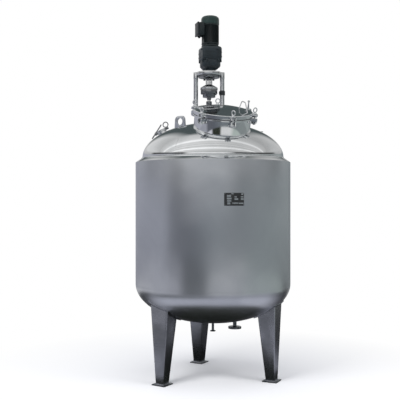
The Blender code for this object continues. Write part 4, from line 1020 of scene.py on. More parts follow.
# %% Drive neck, flange and shaft seal
FLANGE_TOP = heights("drive_flange")[1]
neck = saddle(DRIVE, DRIVE_NECK_RADIUS, DRIVE_NECK_RADIUS - DRIVE_NECK_WALL, neck_high.z, FINE)
add(neck, weld_ring(DRIVE, DRIVE_NECK_RADIUS, 0.004))
finish("drive_neck_pipe", neck, POLISHED, nodes=["drive_neck"])

bottom, top = FLANGE_TOP - 0.030, FLANGE_TOP
profile = [(0.150, top), (0.150, bottom + 0.0165), (0.1485, bottom + 0.0158), (0.1485, bottom + 0.0142),
           (0.150, bottom + 0.0135), (0.150, bottom), (0.026, bottom), (0.026, top)]
flange = hollow(profile, 0.002, FINE)
for number in range(8):
    spot = turn(22.5 + 45 * number) @ move(x=0.132)
    add(flange, hexagon(0.018, 0.011), spot, move(z=top + 0.0015), turn(11 * number))
    add(flange, drum(0.0115, top - 0.001, top + 0.0018, 0.0004), spot)
    add(flange, hexagon(0.018, 0.011), spot, move(z=bottom - 0.011), turn(17 * number))
finish("drive_flange_ring", flange, BRIGHT, nodes=["drive_flange"], at=DRIVE)

SEAL_TOP = heights("shaft_seal")[1]
foot = FLANGE_TOP + GAP
profile = [(0.016, SEAL_TOP), (0.024, SEAL_TOP), (0.026, SEAL_TOP - 0.003), (0.026, foot + 0.046),
           (0.0235, foot + 0.044), (0.0235, foot + 0.036), (0.026, foot + 0.034), (0.026, foot + 0.020),
           (0.050, foot + 0.020), (0.050, foot), (0.016, foot)]
seal = hollow(profile, 0.0015, MIDDLING)
for number in range(4):
    spot = turn(45 + 90 * number) @ move(x=0.038)
    add(seal, drum(0.0055, foot + 0.019, foot + 0.026, 0.0008), spot)
finish("seal_housing", seal, DARK_CAST, nodes=["shaft_seal"], at=DRIVE)

# %% [markdown]
# The posts are turned bars with round shoulders. The top plate is notched to fit between them and
# has its bolts underneath. A clamp with a thumb tab sits on the right-hand post.

# %% Posts and top plate
POST_RADIUS = 0.0215
POST_SPREAD = 0.1185
PLATE_BOTTOM, PLATE_TOP = heights("stand_top_plate")
for side, name in ((-1, "left"), (1, "right")):
    profile = [(0, PLATE_TOP), (POST_RADIUS, PLATE_TOP), (POST_RADIUS, PLATE_BOTTOM - 0.006),
               (POST_RADIUS - 0.0012, PLATE_BOTTOM - 0.009), (POST_RADIUS - 0.0012, FLANGE_TOP + 0.024),
               (POST_RADIUS, FLANGE_TOP + 0.021), (POST_RADIUS, foot), (0, foot)]
    post = turned(rounded(profile, 0.0055, 5), 48)
    finish("stand_post_bar_" + name, post, BRIGHT, nodes=["stand_post_" + name],
           at=DRIVE @ move(x=side * POST_SPREAD))


def post_notches():
    """Cutters for the round notches that fit the plate between the posts."""
    return [placed(drum(POST_RADIUS + GAP, PLATE_BOTTOM - 0.01, PLATE_TOP + 0.01, 0, MIDDLING),
                   move(x=side * POST_SPREAD)) for side in (-1, 1)]


RIM_BOTTOM = PLATE_TOP - 0.032
profile = [(0.110, PLATE_TOP), (0.110, RIM_BOTTOM), (0.045, RIM_BOTTOM), (0.045, PLATE_TOP)]
plate_disc = hollow(profile, 0.002, FINE)
plate_disc = cut(plate_disc, *post_notches())
finish("stand_plate_disc", plate_disc, BRIGHT, nodes=["stand_top_plate"], at=DRIVE)
boss = pipe(0.095, 0.045, PLATE_BOTTOM, RIM_BOTTOM - GAP, 0.002, FINE)
boss = cut(boss, *post_notches())
for angle in (57.5, 122.5, 237.5, 302.5):
    spot = turn(angle) @ move(x=0.075)
    add(boss, hexagon(0.019, 0.012), spot, move(z=PLATE_BOTTOM - 0.0135))
    add(boss, drum(0.0125, PLATE_BOTTOM - 0.0015, PLATE_BOTTOM + 0.001, 0.0004), spot)
side_bolt = turn(-105) @ move(0.094, 0, PLATE_BOTTOM + 0.016) @ turn(90, "Y")
add(boss, hexagon(0.020, 0.011), side_bolt)
finish("stand_plate_boss", boss, DARK_CAST, nodes=["stand_top_plate"], at=DRIVE)

CLAMP_BOTTOM = 2.494
CLAMP_TOP = 2.533
CLAMP_SCREW = move(-0.0285, 0, 2.513)
clamp = pipe(0.0255, POST_RADIUS - 0.001, CLAMP_BOTTOM, CLAMP_TOP, 0.002, 40)
add(clamp, block((0.010, 0.010, 0.030), 0.002), CLAMP_SCREW)
add(clamp, drum(0.004, -0.009, 0.009, 0.0008), CLAMP_SCREW, LYING)
finish("post_clamp", clamp, LID_GREY, at=DRIVE @ move(x=POST_SPREAD) @ turn(35))

# %% [markdown]
# ## Shaft and coupling
#
# These pieces turn together. The coupling's lower half is cast and dark, with six bolt heads under
# its rim, while its upper half is turned bright. The shaft runs down into the vessel to the impeller.

# %% Coupling
SHAFT_RADIUS = 0.0145
half_bottom, half_top = heights("coupling_lower_half")
SPLIT = half_top + GAP
HALF_BOTTOM = SPLIT - 0.067
NOSE_TOP = SPLIT - 0.037
profile = [(0, half_top), (0.075, half_top), (0.075, NOSE_TOP), (0.057, NOSE_TOP),
           (0.057, HALF_BOTTOM), (0.022, HALF_BOTTOM), (0.017, half_bottom), (0, half_bottom)]
lower = turned(rounded(profile, 0.0025), MIDDLING)
for number in range(6):
    add(lower, hexagon(0.011, 0.006), turn(60 * number + 20), move(0.066, 0, NOSE_TOP - 0.006))
finish("coupling_half_cast", lower, DARK_CAST, "agitator", ["coupling_lower_half"],
       at=DRIVE)

HALF_TOP = SPLIT + 0.046
HUB_TOP = HALF_TOP + 0.038
profile = [(0, PLATE_TOP), (0.027, PLATE_TOP), (0.027, HUB_TOP), (0.030, HUB_TOP), (0.030, HALF_TOP),
           (0.0785, SPLIT + 0.018), (0.0785, SPLIT + 0.010), (0.0772, SPLIT + 0.009),
           (0.0785, SPLIT + 0.008), (0.0785, SPLIT), (0, SPLIT)]
upper = turned(rounded(profile, 0.0016), MIDDLING)
add(upper, drum(0.0042, 0, 0.003, 0.0006), move(0, 0, HALF_TOP + 0.018), turn(-70), move(x=0.0285),
    turn(90, "Y"))
finish("coupling_half_turned", upper, BRIGHT, "agitator", ["coupling_upper_half"],
       at=DRIVE)

# %% [markdown]
# The impeller has four blades at 45 degrees, welded to a hub.

# %% Shaft and impeller
SHAFT_BOTTOM, SHAFT_TOP = heights("agitator_shaft")
shaft = drum(SHAFT_RADIUS, SHAFT_BOTTOM, SHAFT_TOP, 0.002, 40)
finish("agitator_shaft_bar", shaft, BRIGHT, "agitator", ["agitator_shaft"], at=DRIVE)

HUB_HEIGHT = 0.080
HUB_RADIUS = 0.034
BLADE_CORNER = 0.018
BLADE_WELD = 0.003
hub_bottom = SHAFT_BOTTOM + GAP
hub = pipe(HUB_RADIUS, SHAFT_RADIUS, hub_bottom, hub_bottom + HUB_HEIGHT, 0.003)
middle = hub_bottom + HUB_HEIGHT / 2
for number in range(4):
    spot = turn(90 * number) @ move(0.138, 0, middle) @ turn(45, "X")
    blade = block((0.222, 0.080, 0.008), 0)
    tips = [edge for edge in upright_edges(blade, 0.004) if all(vert.co.x > 0 for vert in edge.verts)]
    soften(blade, tips, BLADE_CORNER, 6)
    soften(blade, sharp_edges(blade), 0.0015)
    add(hub, blade, spot)
    weld_line = [Vector((HUB_RADIUS * cos(t), HUB_RADIUS * sin(t), z))
                 for t, z in ((-0.75, -0.030), (0, 0), (0.75, 0.030))]
    add(hub, bar(weld_line, BLADE_WELD), turn(90 * number), move(z=middle))
finish("impeller_welded", hub, POLISHED, "agitator", ["impeller"], at=DRIVE)

# %% [markdown]
# ## Gear motor
#
# The gearbox is a pair of square castings with broken corners, bolted to the top plate by a round
# neck. The whole drive stands a little turned to the left, so it gets a frame of its own.

# %% Gearbox
GEAR_OFFSET = 0.010
GEAR_TURN = 15
GEAR = DRIVE @ move(x=GEAR_OFFSET) @ turn(GEAR_TURN)
GEAR_BOTTOM, GEAR_TOP = heights("gearbox")
BODY_BOTTOM = GEAR_BOTTOM + 0.020
JOINT = GEAR_TOP - 0.093


def bevelled(size, chamfer, soft):
    """A block with flat chamfers whose edges are softened again."""
    shape = block(size, chamfer, 1)
    soften(shape, shape.edges[:], soft)
    return shape


box = bevelled((0.164, 0.164, JOINT - BODY_BOTTOM), 0.030, 0.003)
box.transform(move(z=(JOINT + BODY_BOTTOM) / 2))
add(box, block((0.178, 0.178, GEAR_TOP - JOINT + 0.034), 0.024, 6), move(z=(GEAR_TOP + JOINT - 0.034) / 2))
for level, thick in ((JOINT + 0.003, 0.008), (JOINT + 0.040, 0.004)):
    rim = block((0.182, 0.182, thick), 0)
    soften(rim, upright_edges(rim, thick / 2), 0.025, 6)
    add(box, rim, move(z=level))
add(box, turned(rounded([(0, BODY_BOTTOM + 0.03), (0.062, BODY_BOTTOM + 0.03), (0.058, BODY_BOTTOM - 0.004),
                         (0.055, BODY_BOTTOM - 0.006), (0.055, GEAR_BOTTOM), (0, GEAR_BOTTOM)], 0.003)),
    turn(-GEAR_TURN), move(x=-GEAR_OFFSET))
for number in range(4):
    spot = turn(90 * number)
    for across in (-0.052, 0.052):
        add(box, hexagon(0.013, 0.008), spot, move(0.0845, across, JOINT - 0.044))
        add(box, drum(0.009, JOINT - 0.045, JOINT - 0.020, 0.001), spot, move(0.0835, across))
    add(box, drum(0.030, 0, 0.004, 0.0015, 40), spot, move(0.082, 0, BODY_BOTTOM + 0.055), turn(90, "Y"))
    add(box, hexagon(0.017, 0.007), spot, move(0.089, 0.046, GEAR_TOP - 0.030), turn(90, "Y"))
finish("gearbox_casting", box, GEAR_SLATE, nodes=["gearbox"], at=GEAR)

# %% [markdown]
# The motor's frame is a ribbed cylinder. The ribs are thin blocks round a smaller core, left out
# where the terminal box sits.

# %% Motor
MOTOR_RADIUS = 0.079
MOTOR_BOTTOM, MOTOR_TOP = heights("motor")
CORE = 0.0685
profile = [(0, MOTOR_TOP), (MOTOR_RADIUS, MOTOR_TOP), (MOTOR_RADIUS, MOTOR_TOP - 0.012),
           (CORE, MOTOR_TOP - 0.014), (CORE, MOTOR_BOTTOM + 0.034), (MOTOR_RADIUS, MOTOR_BOTTOM + 0.032),
           (MOTOR_RADIUS, MOTOR_BOTTOM + 0.026), (0.070, MOTOR_BOTTOM + 0.016),
           (0.078, MOTOR_BOTTOM + 0.012), (0.078, MOTOR_BOTTOM), (0, MOTOR_BOTTOM)]
motor = turned(rounded(profile, 0.002), 96)
RIBS = 40
for number in range(RIBS):
    angle = 360 * (number + 0.5) / RIBS
    if abs(angle - 180) < 29:
        continue
    rib = block((0.013, 0.0026, MOTOR_TOP - MOTOR_BOTTOM - 0.046), 0.0008, 1)
    add(motor, rib, turn(angle), move(0.0725, 0, (MOTOR_TOP + MOTOR_BOTTOM) / 2 + 0.010))
for number in range(4):
    spot = turn(45 + 90 * number) @ move(x=0.073)
    add(motor, hexagon(0.014, 0.009), spot, move(z=MOTOR_BOTTOM + 0.012))
finish("motor_frame", motor, MOTOR_GREEN, nodes=["motor"], at=GEAR)

# %% [markdown]
# The fan cowl is a thin pressing with round slots in its crown, where the fan draws its air.

# %% Fan cowl
COWL_RADIUS = 0.081
COWL_TOP = heights("fan_cowl")[1]
COWL_BOTTOM = MOTOR_TOP + GAP
crest = [(0, COWL_TOP)]
for start in (0.012, 0.021, 0.030, 0.039):
    crest += [(start, COWL_TOP), (start, COWL_TOP - 0.004), (start + 0.005, COWL_TOP - 0.004),
              (start + 0.005, COWL_TOP)]
flank = arc((COWL_RADIUS - 0.030, COWL_TOP - 0.030), 0.030, 90, 0, 14)
skirt = [(COWL_RADIUS, COWL_BOTTOM + 0.003), (COWL_RADIUS - 0.003, COWL_BOTTOM), (0, COWL_BOTTOM)]
cowl = turned(crest + flank + skirt, 96)
for number in range(8):
    add(cowl, block((0.042, 0.004, 0.0035), 0.0008), turn(45 * number), move(0.027, 0, COWL_TOP - 0.0020))
for angle in (30, 150, 270):
    add(cowl, drum(0.0045, 0, 0.003, 0.001), turn(angle), move(COWL_RADIUS - 0.001, 0, COWL_BOTTOM + 0.014),
        turn(90, "Y"))
finish("fan_cowl_pressing", cowl, COWL_GREEN, nodes=["fan_cowl"], at=GEAR)

# %% [markdown]
# The terminal box stands out to the left. Its lid has a screw in each corner, and two cable glands
# point down from its floor.

# %% Terminal box and lid
BOX_BOTTOM, BOX_TOP = heights("terminal_box")
BOX_MIDDLE = (BOX_TOP + BOX_BOTTOM) / 2
terminal = block((0.053, 0.100, BOX_TOP - BOX_BOTTOM), 0.006, 3)
terminal.transform(move(-0.0885, 0, BOX_MIDDLE))
terminal = cut(terminal, drum(MOTOR_RADIUS + GAP, MOTOR_BOTTOM, MOTOR_TOP + 2 * GAP, 0, MIDDLING),
               drum(COWL_RADIUS + GAP, MOTOR_TOP, COWL_TOP, 0, MIDDLING))
add(terminal, block((0.030, 0.070, 0.080), 0.004), move(-0.070, 0, BOX_MIDDLE - 0.010))
for across in (-0.026, 0.026):
    add(terminal, hexagon(0.024, 0.008), move(-0.095, across, BOX_BOTTOM - 0.0075))
    add(terminal, drum(0.0095, BOX_BOTTOM - 0.014, BOX_BOTTOM, 0.002), move(-0.095, across))
finish("terminal_housing", terminal, MOTOR_GREEN, nodes=["terminal_box"], at=GEAR)
lid = block((0.012, 0.106, BOX_TOP - BOX_BOTTOM + 0.006), 0.0045, 3)
for across in (-1, 1):
    for up in (-1, 1):
        spot = move(-0.005, across * 0.044, up * 0.0505) @ turn(-90, "Y")
        add(lid, drum(0.0045, 0, 0.0026, 0.0008), spot)
finish("terminal_cover", lid, LID_GREY, nodes=["terminal_lid"],
       at=GEAR @ move(-0.1213, 0, BOX_MIDDLE))

# %% [markdown]
# ## Lifting eyes
#
# The two lifting eyes are burnt from thick plate and welded to the dome. The foot of each one follows
# the dome, and a bead runs all round it.

# %% Lifting eyes
EYE_FOOT = 0.0626
EYE_TOP = 0.057
EYE_CORNER = 0.036
EYE_THICK = 0.012
EYE_HOLE = 0.030
EYE_DROP = 0.049
EYE_OFFSET = 0.290
for name, azimuth, yaw in (("left", -86.0, -40.0), ("right", 110.0, 25.0)):
    spot = move(*round_tank(azimuth, EYE_OFFSET)) @ turn(yaw)
    top = heights("lifting_eye_" + name)[1]
    feet = []
    for step in range(13):
        across = EYE_FOOT * (step / 6 - 1)
        world_spot = spot @ Vector((across, 0, 0))
        feet.append((across, head_height(world_spot.x, world_spot.y) - 0.003))
    inset = EYE_TOP - EYE_CORNER
    corners = arc((inset, top - EYE_CORNER), EYE_CORNER, 0, 90, 12)
    corners += arc((-inset, top - EYE_CORNER), EYE_CORNER, 90, 180, 12)
    eye = plate(feet + corners, EYE_THICK, 0)
    eye = cut(eye, placed(drum(EYE_HOLE, -0.02, 0.02, 0, MIDDLING), move(z=top - EYE_DROP) @ LYING))
    soften(eye, sharp_edges(eye), 0.0012)
    bead = []
    for side in (-1, 1):
        line = []
        for across, _ in feet:
            point = spot @ Vector((across, side * EYE_THICK / 2, 0))
            height = head_height(point.x, point.y)
            line.append(Vector((across, side * EYE_THICK / 2, height)))
        bead += line if side < 0 else line[::-1]
    add(eye, bar(bead, 0.0035, closed=True))
    finish("lifting_eye_plate_" + name, eye, SATIN, nodes=["lifting_eye_" + name],
           at=spot)

# %% [markdown]
# ## Charging port and vent
#
# The port is a small hand hole. Its cap is held by two clamps: a ring on a block, and a long lever that
# leans over the cap. The vent is a plain ferrule on a short pipe.

# %% Port
PORT_HEIGHT = 0.034
PORT_RIM = 0.047
neck = saddle(PORT, PORT_RADIUS, PORT_RADIUS - PORT_WALL, PORT_HEIGHT, MIDDLING)
rim = pipe(PORT_RIM, PORT_RADIUS - PORT_WALL, PORT_HEIGHT - 0.008, PORT_HEIGHT, 0.0015)
add(neck, rim, PORT)
add(neck, weld_ring(PORT, PORT_RADIUS, 0.003))
finish("port_pipe", neck, POLISHED, nodes=["port_neck"])

cap_bottom = PORT_HEIGHT + GAP
cap_top = cap_bottom + 0.010
crest = [(PORT_RADIUS * step / 10, cap_top + 0.008 * (1 - (step / 10) ** 2)) for step in range(11)]
side = [(0.0405, cap_top), (PORT_RIM, cap_top), (PORT_RIM, cap_bottom), (0, cap_bottom)]
cap = turned(crest + rounded(side, 0.002))
finish("port_lid", cap, BRIGHT, nodes=["port_cap"], at=PORT)

CLAMP_REACH = 0.022
CLAMP_RING = (0.023, 0.0045)
LEVER_TILT = turn(-61.4, "Y")
clamp_middle = (PORT_HEIGHT - 0.008 + cap_top) / 2
clamp_height = cap_top - PORT_HEIGHT + 0.008
for name, angle in (("uphill", 90.0), ("downhill", -90.0)):
    clamp = block((CLAMP_REACH, 0.024, clamp_height), 0.003, 3)
    if name == "uphill":
        add(clamp, drum(0.0065, 0.0, 0.013, 0.002))
        add(clamp, torus(*CLAMP_RING), move(z=0.036), LYING)
    else:
        tilt = move(z=0.010) @ LEVER_TILT
        add(clamp, drum(0.0055, -0.059, 0.0945, 0.0015), tilt)
        add(clamp, drum(0.0080, -0.010, 0.012, 0.002), tilt)
        add(clamp, torus(*CLAMP_RING), tilt, move(z=-0.0315), turn(20), turn(90, "Y"))
    finish("port_eye_clamp_" + name, clamp, DARK_CAST, nodes=["port_clamp_" + name],
           at=PORT @ turn(angle) @ move(PORT_RIM + GAP + CLAMP_REACH / 2, 0, clamp_middle))

# %% [markdown]
# The vent's flange is a clamp ferrule: a thin collar with a tapered back.

# %% Vent
vent_top = heights("vent_nozzle")[1]
centre = VENT.to_translation()
base = head_height(centre.x, centre.y) - 0.006
profile = [(0.026, vent_top), (0.026, vent_top - 0.004), (0.016, vent_top - 0.010),
           (VENT_RADIUS, vent_top - 0.011), (VENT_RADIUS, base), (VENT_RADIUS - VENT_WALL, base),
           (VENT_RADIUS - VENT_WALL, vent_top)]
vent = hollow(profile, 0.0010, 48)
vent.transform(VENT)
add(vent, weld_ring(VENT, VENT_RADIUS, 0.002, 32))
finish("vent_ferrule", vent, POLISHED, nodes=["vent_nozzle"])

# %% [markdown]
# ## Drain and outlet
#
# Two pipes leave the bottom. Each is welded to both heads and ends in a flange, which on the outlet
# has four bolt holes.

# %% Drain and outlet
def bottom_pipe(node, outer, inner, flange_radius, thick, holes):
    """A pipe with a flange at its lower end and a weld bead on the jacket."""
    bottom, top = heights(node)
    place = centre_of(node)
    step = bottom + thick
    profile = [(outer, top), (outer, step + 0.004), (outer + 0.004, step), (flange_radius, step),
               (flange_radius, bottom), (inner, bottom), (inner, top)]
    shape = hollow(profile, 0.0015, MIDDLING)
    cutters = [placed(drum(0.0065, bottom - 0.01, step + 0.01, 0), turn(45 + 90 * number) @ move(x=0.042))
               for number in range(holes)]
    shape = cut(shape, *cutters) if cutters else shape
    rest = JACKET_BOTTOM - JACKET_DEPTH * sqrt(1 - (place.to_translation().x / JACKET_RADIUS) ** 2)
    add(shape, torus(outer + 0.001, 0.0035, 40, 8), move(z=rest + 0.001))
    finish(node + "_pipe", shape, SHADED_PIPE_STEEL, nodes=[node], at=place)


bottom_pipe("drain_nozzle", 0.011, DRAIN_BORE, 0.024, 0.008, 0)
bottom_pipe("outlet_nozzle", 0.0165, OUTLET_BORE, 0.058, 0.018, 4)

# %% [markdown]
# ## Nameplate and seams
#
# The nameplate follows the jacket. It is black, with the pale blank fields of a rating plate and a
# rivet in each corner. Each flat piece is sliced upright a few times and then bent round the tank.

# %% Nameplate
PLATE_AZIMUTH = 13.4
PLATE_MIDDLE = sum(heights("nameplate")) / 2
PLATE_THICK = 0.0018
UNIT = 0.0082
FIELDS = ((-7.3, -3.2, 2.2, 4.2), (-7.4, -2.8, -0.2, 1.6), (-7.2, -3.0, -2.4, -0.9),
          (-7.0, -4.0, -5.0, -3.0), (0.2, 2.4, 1.7, 2.9), (0.2, 4.0, -0.6, 1.0), (6.7, 9.4, 1.8, 2.9),
          (6.6, 9.6, -0.6, 1.0), (-2.0, 4.2, -4.3, -3.2), (4.8, 9.4, -4.5, -3.3), (-3.0, -0.6, 4.8, 5.8),
          (7.2, 9.0, 4.2, 5.8))


def bent(shape, lift=0.0):
    """Wrap a flat piece round the jacket at the nameplate."""
    for number in range(-10, 11):
        bmesh.ops.bisect_plane(shape, geom=shape.verts[:] + shape.edges[:] + shape.faces[:],
                               plane_co=(number * 0.0075 + 0.0003, 0, 0), plane_no=(1, 0, 0), dist=0.00001)
    for vert in shape.verts:
        angle = radians(PLATE_AZIMUTH) + vert.co.x / JACKET_RADIUS
        radius = JACKET_RADIUS + GAP + lift - vert.co.y
        vert.co = Vector((radius * sin(angle), -radius * cos(angle), vert.co.z + PLATE_MIDDLE))
    return shape


def field(left, right, bottom, top, thick, edge):
    """One flat field of the nameplate, its back on XZ."""
    return placed(block((right - left, thick, top - bottom), edge, 1),
                  move((left + right) / 2, -thick / 2, (top + bottom) / 2))


PLATE_BLACK = paint("black plate", (0.010, 0.011, 0.012), (0.018, 0.019, 0.02), 0.30, 0.48, 500.0, 0.0002,
                    0.1)
backing = bent(field(-0.082, 0.082, -0.0515, 0.0515, PLATE_THICK, 0.0006))
finish("nameplate_backing", backing, PLATE_BLACK, nodes=["nameplate"])
marks = bmesh.new()
for sides in FIELDS:
    add(marks, bent(field(*(side * UNIT for side in sides), 0.0003, 0.0001), PLATE_THICK))
for side in (-1, 1):
    for up in (-1, 1):
        spot = move(side * 0.0765, 0, up * 0.046) @ LYING
        add(marks, bent(placed(drum(0.003, 0, 0.0014, 0.0006, 12), spot), PLATE_THICK))
finish("nameplate_fields", marks, BRIGHT)

# %% [markdown]
# The dome has a short upright seam to the left of the manhole, and the jacket has its long seam
# at the back. Both are ground low.

# %% Seams
SEAM_START = 12.0
SEAM_RISE = 13.0
seam = bmesh.new()
line = []
for step in range(9):
    rise = radians(SEAM_START + SEAM_RISE * step / 8)
    spot = round_tank(SEAM_AZIMUTH, VESSEL_RADIUS * cos(rise))
    line.append(Vector((*spot, VESSEL_TOP + HEAD_DEPTH * sin(rise))))
add(seam, bar(line, 0.0022))
finish("dome_seam", seam, POLISHED)
seam = block((0.007, 0.0022, JACKET_TOP - JACKET_BOTTOM - 0.012), 0.001)
finish("jacket_seam", seam, SATIN,
       at=turn(8) @ move(0, JACKET_RADIUS - 0.0010, (JACKET_TOP + JACKET_BOTTOM) / 2))

# %% [markdown]
# ## Studio
#
# The floor and the background are plain and pale. Bare steel shows only what it reflects, so the
# studio around the tank matters as much as the finish. Its ceiling is an arch of bright panels and dark
# beams from front to back, its walls change round the compass, and to glossy rays the floor glows with
# the tank's shade painted into it. The world gives this to glossy rays only, and plain white to the camera.

# %% World
world = bpy.data.worlds.new("studio")
bpy.context.scene.world = world
world.use_nodes = True
tree = world.node_tree
tree.nodes.clear()
way = wire(tree, "ShaderNodeTexCoord").outputs["Generated"]
parts = wire(tree, "ShaderNodeSeparateXYZ", {"Vector": way})
ahead = maths(tree, "MULTIPLY", parts.outputs["Y"], -1.0)
arch = maths(tree, "ARCTAN2", parts.outputs["Z"], ahead)
ceiling = ramp(tree, maths(tree, "DIVIDE", arch, pi), [
    (0.000, 0.45), (0.083, 0.40), (0.144, 0.62), (0.185, 0.60), (0.200, 1.00), (0.233, 0.95), (0.243, 0.52),
    (0.256, 0.78), (0.272, 0.54), (0.283, 0.42), (0.294, 0.64), (0.328, 0.72), (0.350, 0.45), (0.358, 0.66),
    (0.400, 0.60), (0.425, 0.62), (0.444, 0.92), (0.478, 0.85), (0.494, 0.62), (0.544, 0.55), (0.594, 0.52),
    (0.628, 0.45), (0.700, 0.50), (0.800, 0.60), (0.900, 0.62), (0.956, 0.50), (1.000, 0.42)])
fade = remap(tree, parts.outputs["X"], -0.3, 0.4, 1.0, 0.80)
ceiling = blend_colour(tree, 1.0, ceiling, fade, "MULTIPLY")
aside = wire(tree, "ShaderNodeMath", {0: parts.outputs["X"]}, operation="ABSOLUTE").outputs[0]
middle = remap(tree, aside, 0.24, 0.40, 1.0, 0.0)
patch = maths(tree, "MULTIPLY", middle, remap(tree, parts.outputs["Y"], 0.30, 0.45))
ceiling = blend_colour(tree, patch, ceiling, (0.066, 0.082, 0.084))


def compass(tree, across, along):
    """Share of a turn round the tank, with the camera's side at 0.5."""
    angle = maths(tree, "ARCTAN2", across, maths(tree, "MULTIPLY", along, -1.0))
    return remap(tree, angle, -pi, pi)


WALLS = [(0.00, (0.27, 0.275, 0.30)), (0.06, (0.34, 0.345, 0.39)), (0.30, (0.36, 0.37, 0.42)),
         (0.33, (0.13, 0.137, 0.16)), (0.40, (0.12, 0.13, 0.155)), (0.44, (0.15, 0.165, 0.19)),
         (0.50, (0.19, 0.215, 0.235)), (0.58, (0.185, 0.205, 0.22)), (0.70, (0.26, 0.29, 0.295)),
         (0.88, (0.27, 0.295, 0.295)), (0.94, (0.17, 0.19, 0.20)), (1.00, (0.24, 0.25, 0.27))]
UPRIGHTS = [(0.00, 0.50), (0.16, 0.45), (0.19, 0.05), (0.36, 0.04), (0.385, 0.60), (0.41, 0.80),
            (0.55, 0.80), (0.575, 0.55), (0.60, 0.05), (0.81, 0.05), (0.84, 0.40), (1.00, 0.50)]
around = compass(tree, parts.outputs["X"], parts.outputs["Y"])
low = remap(tree, parts.outputs["Z"], 0.135, 0.160)
high = remap(tree, parts.outputs["Z"], 0.20, 0.27)
hall = blend_colour(tree, low, ramp(tree, around, WALLS), ramp(tree, around, UPRIGHTS))
hall = blend_colour(tree, high, hall, ceiling)
path = wire(tree, "ShaderNodeLightPath")
soft = wire(tree, "ShaderNodeBackground", {"Color": (0.93, 0.95, 1.0, 1.0), "Strength": 0.85})
mirror = wire(tree, "ShaderNodeBackground", {"Color": hall, "Strength": 1.25})
white = wire(tree, "ShaderNodeBackground", {"Color": (1.0, 1.0, 1.0, 1.0), "Strength": 1.0})
glossy = wire(tree, "ShaderNodeMixShader", {0: path.outputs["Is Glossy Ray"], 1: soft.outputs[0],
                                            2: mirror.outputs[0]})
seen = wire(tree, "ShaderNodeMixShader", {0: path.outputs["Is Camera Ray"], 1: glossy.outputs[0],
                                          2: white.outputs[0]})
wire(tree, "ShaderNodeOutputWorld", {"Surface": seen.outputs[0]})
print("world made")

# %% [markdown]
# The floor is white and runs into the background. To glossy rays it glows instead, with painted shade and
# painted reflections: deep painted shade where the tank's own shadow falls, then a soft grey ring with a dim
# patch in front, and dim behind the tank. Farther out it takes painted bars that show upright in the
# manhole's neck, and at last the colours of the walls.

# %% Floor
FLOOR_RADIUS = 14.0
RING_REACH = 4.0
shape = bmesh.new()
bmesh.ops.create_circle(shape, cap_ends=True, segments=96, radius=FLOOR_RADIUS)
floor = object_of(shape, "floor")
pale, tree, shader = plain_material("pale floor")
shader.inputs["Base Color"].default_value = (0.86, 0.86, 0.87, 1.0)
shader.inputs["Roughness"].default_value = 0.9
shader.inputs["Specular IOR Level"].default_value = 0.0
place = wire(tree, "ShaderNodeTexCoord").outputs["Object"]
reach = wire(tree, "ShaderNodeVectorMath", {0: place}, operation="LENGTH").outputs["Value"]
far = remap(tree, reach, 0.6, 2.4)
lit = wire(tree, "ShaderNodeEmission", {"Color": (1, 1, 1, 1), "Strength": 1.0})
camera_floor = wire(tree, "ShaderNodeMixShader", {0: far, 1: shader.outputs[0], 2: lit.outputs[0]})
reach_share = maths(tree, "DIVIDE", reach, RING_REACH)
# Painted shade: near black under the tank, where its own shadow falls, then a bright grey ring.
rings = ramp(tree, reach_share, [(0.0, (0.010, 0.012, 0.010)), (0.19, (0.030, 0.034, 0.028)),
                                 (0.2175, (0.56, 0.57, 0.64)), (0.30, (0.60, 0.61, 0.69)),
                                 (0.55, (0.46, 0.47, 0.53)), (0.75, (0.30, 0.31, 0.34))])
ground = wire(tree, "ShaderNodeSeparateXYZ", {"Vector": place})
# Painted shade: the ring is dimmed behind the tank and in a patch in front.
behind = remap(tree, ground.outputs["Y"], -0.3, 0.7, 1.0, 0.10)
rings = blend_colour(tree, 1.0, rings, behind, "MULTIPLY")
around = compass(tree, ground.outputs["X"], ground.outputs["Y"])
dim = ramp(tree, around, [(0.00, 0.30), (0.24, 0.30), (0.30, 1.0), (0.46, 1.0), (0.52, 0.30), (1.00, 0.30)])
dim_reach = ramp(tree, reach_share, [(0.37, 0.0), (0.43, 0.85), (0.52, 0.85), (0.60, 0.0)])
dark = maths(tree, "MULTIPLY", dim, dim_reach)
rings = blend_colour(tree, dark, rings, (0.035, 0.04, 0.035))
# Painted reflection: bars on the floor that show upright in the manhole's neck.
PAINTED_NECK_BARS = [(0.00, 0.68), (0.37, (0.68, 0.68, 0.74)), (0.39, (0.035, 0.04, 0.03)),
             (0.47, (0.03, 0.035, 0.025)), (0.49, 0.80), (0.59, 0.80), (0.64, (0.48, 0.54, 0.51)),
             (0.80, (0.48, 0.54, 0.51)), (0.82, 0.08), (0.88, 0.08), (0.91, 0.55), (1.00, 0.68)]
middle = remap(tree, reach, 2.6, 3.2)
outer = remap(tree, reach, 4.6, 5.0)
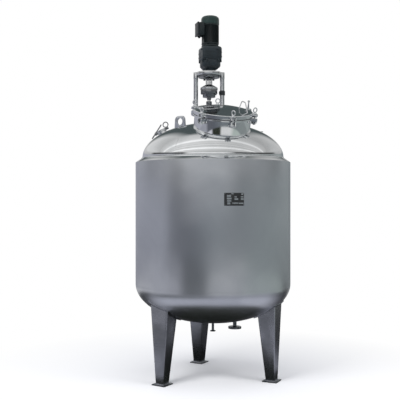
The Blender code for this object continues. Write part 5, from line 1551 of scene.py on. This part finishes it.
shade = blend_colour(tree, middle, rings, ramp(tree, around, PAINTED_NECK_BARS))
shade = blend_colour(tree, outer, shade, ramp(tree, around, WALLS))
# The floor glows with this painted shade and painted reflection for glossy rays only.
painted_reflection_floor = wire(tree, "ShaderNodeEmission", {"Color": shade, "Strength": 1.0})
path = wire(tree, "ShaderNodeLightPath")
both = wire(tree, "ShaderNodeMixShader", {0: path.outputs["Is Glossy Ray"], 1: camera_floor.outputs[0],
                                          2: painted_reflection_floor.outputs[0]})
tree.links.new(both.outputs[0], tree.nodes["Material Output"].inputs["Surface"])
floor.data.materials.append(pale)
print("floor made")

# %% [markdown]
# Two large soft lights shape the painted pieces: one from the upper left, a weaker one from the right.

# %% Lights and camera
def soft_light(name, spot, aim, size, power):
    """A square area light that points at a spot and shows in no reflection."""
    data = bpy.data.lights.new(name, "AREA")
    data.size = size
    data.energy = power
    lamp = bpy.data.objects.new(name, data)
    lamp.matrix_world = Matrix.Translation(spot) @ (aim - spot).to_track_quat("-Z", "Y").to_matrix().to_4x4()
    lamp.visible_glossy = False
    bpy.context.scene.collection.objects.link(lamp)


soft_light("left light", Vector((-3.5, -4.0, 5.0)), Vector((0, 0, 2.0)), 2.5, 260)
soft_light("right light", Vector((4.0, -2.5, 4.0)), Vector((0, 0, 2.0)), 2.0, 90)

CAMERA_SPOT = (-0.114, -6.45, 1.554)
SENSOR = 36.0
FOCAL_PIXELS = 728.0
PHOTO_PIXELS = 400.0
data = bpy.data.cameras.new("camera")
data.sensor_width = SENSOR
data.lens = FOCAL_PIXELS / PHOTO_PIXELS * SENSOR
camera = bpy.data.objects.new("camera", data)
camera.location = CAMERA_SPOT
camera.rotation_euler = (pi / 2, 0, 0)
bpy.context.scene.collection.objects.link(camera)
bpy.context.scene.camera = camera
bpy.context.scene.view_settings.view_transform = "Standard"
print("lens", round(data.lens, 2), "mm")

# %% [markdown]
# ## Leftovers
#
# The last cell prints each CAD node that is still shown, one that no finished piece stands in for.

# %% Finish
for item in bpy.data.objects:
    if item.name in frame["nodes"] and not item.hide_render:
        print("still plain:", item.name)
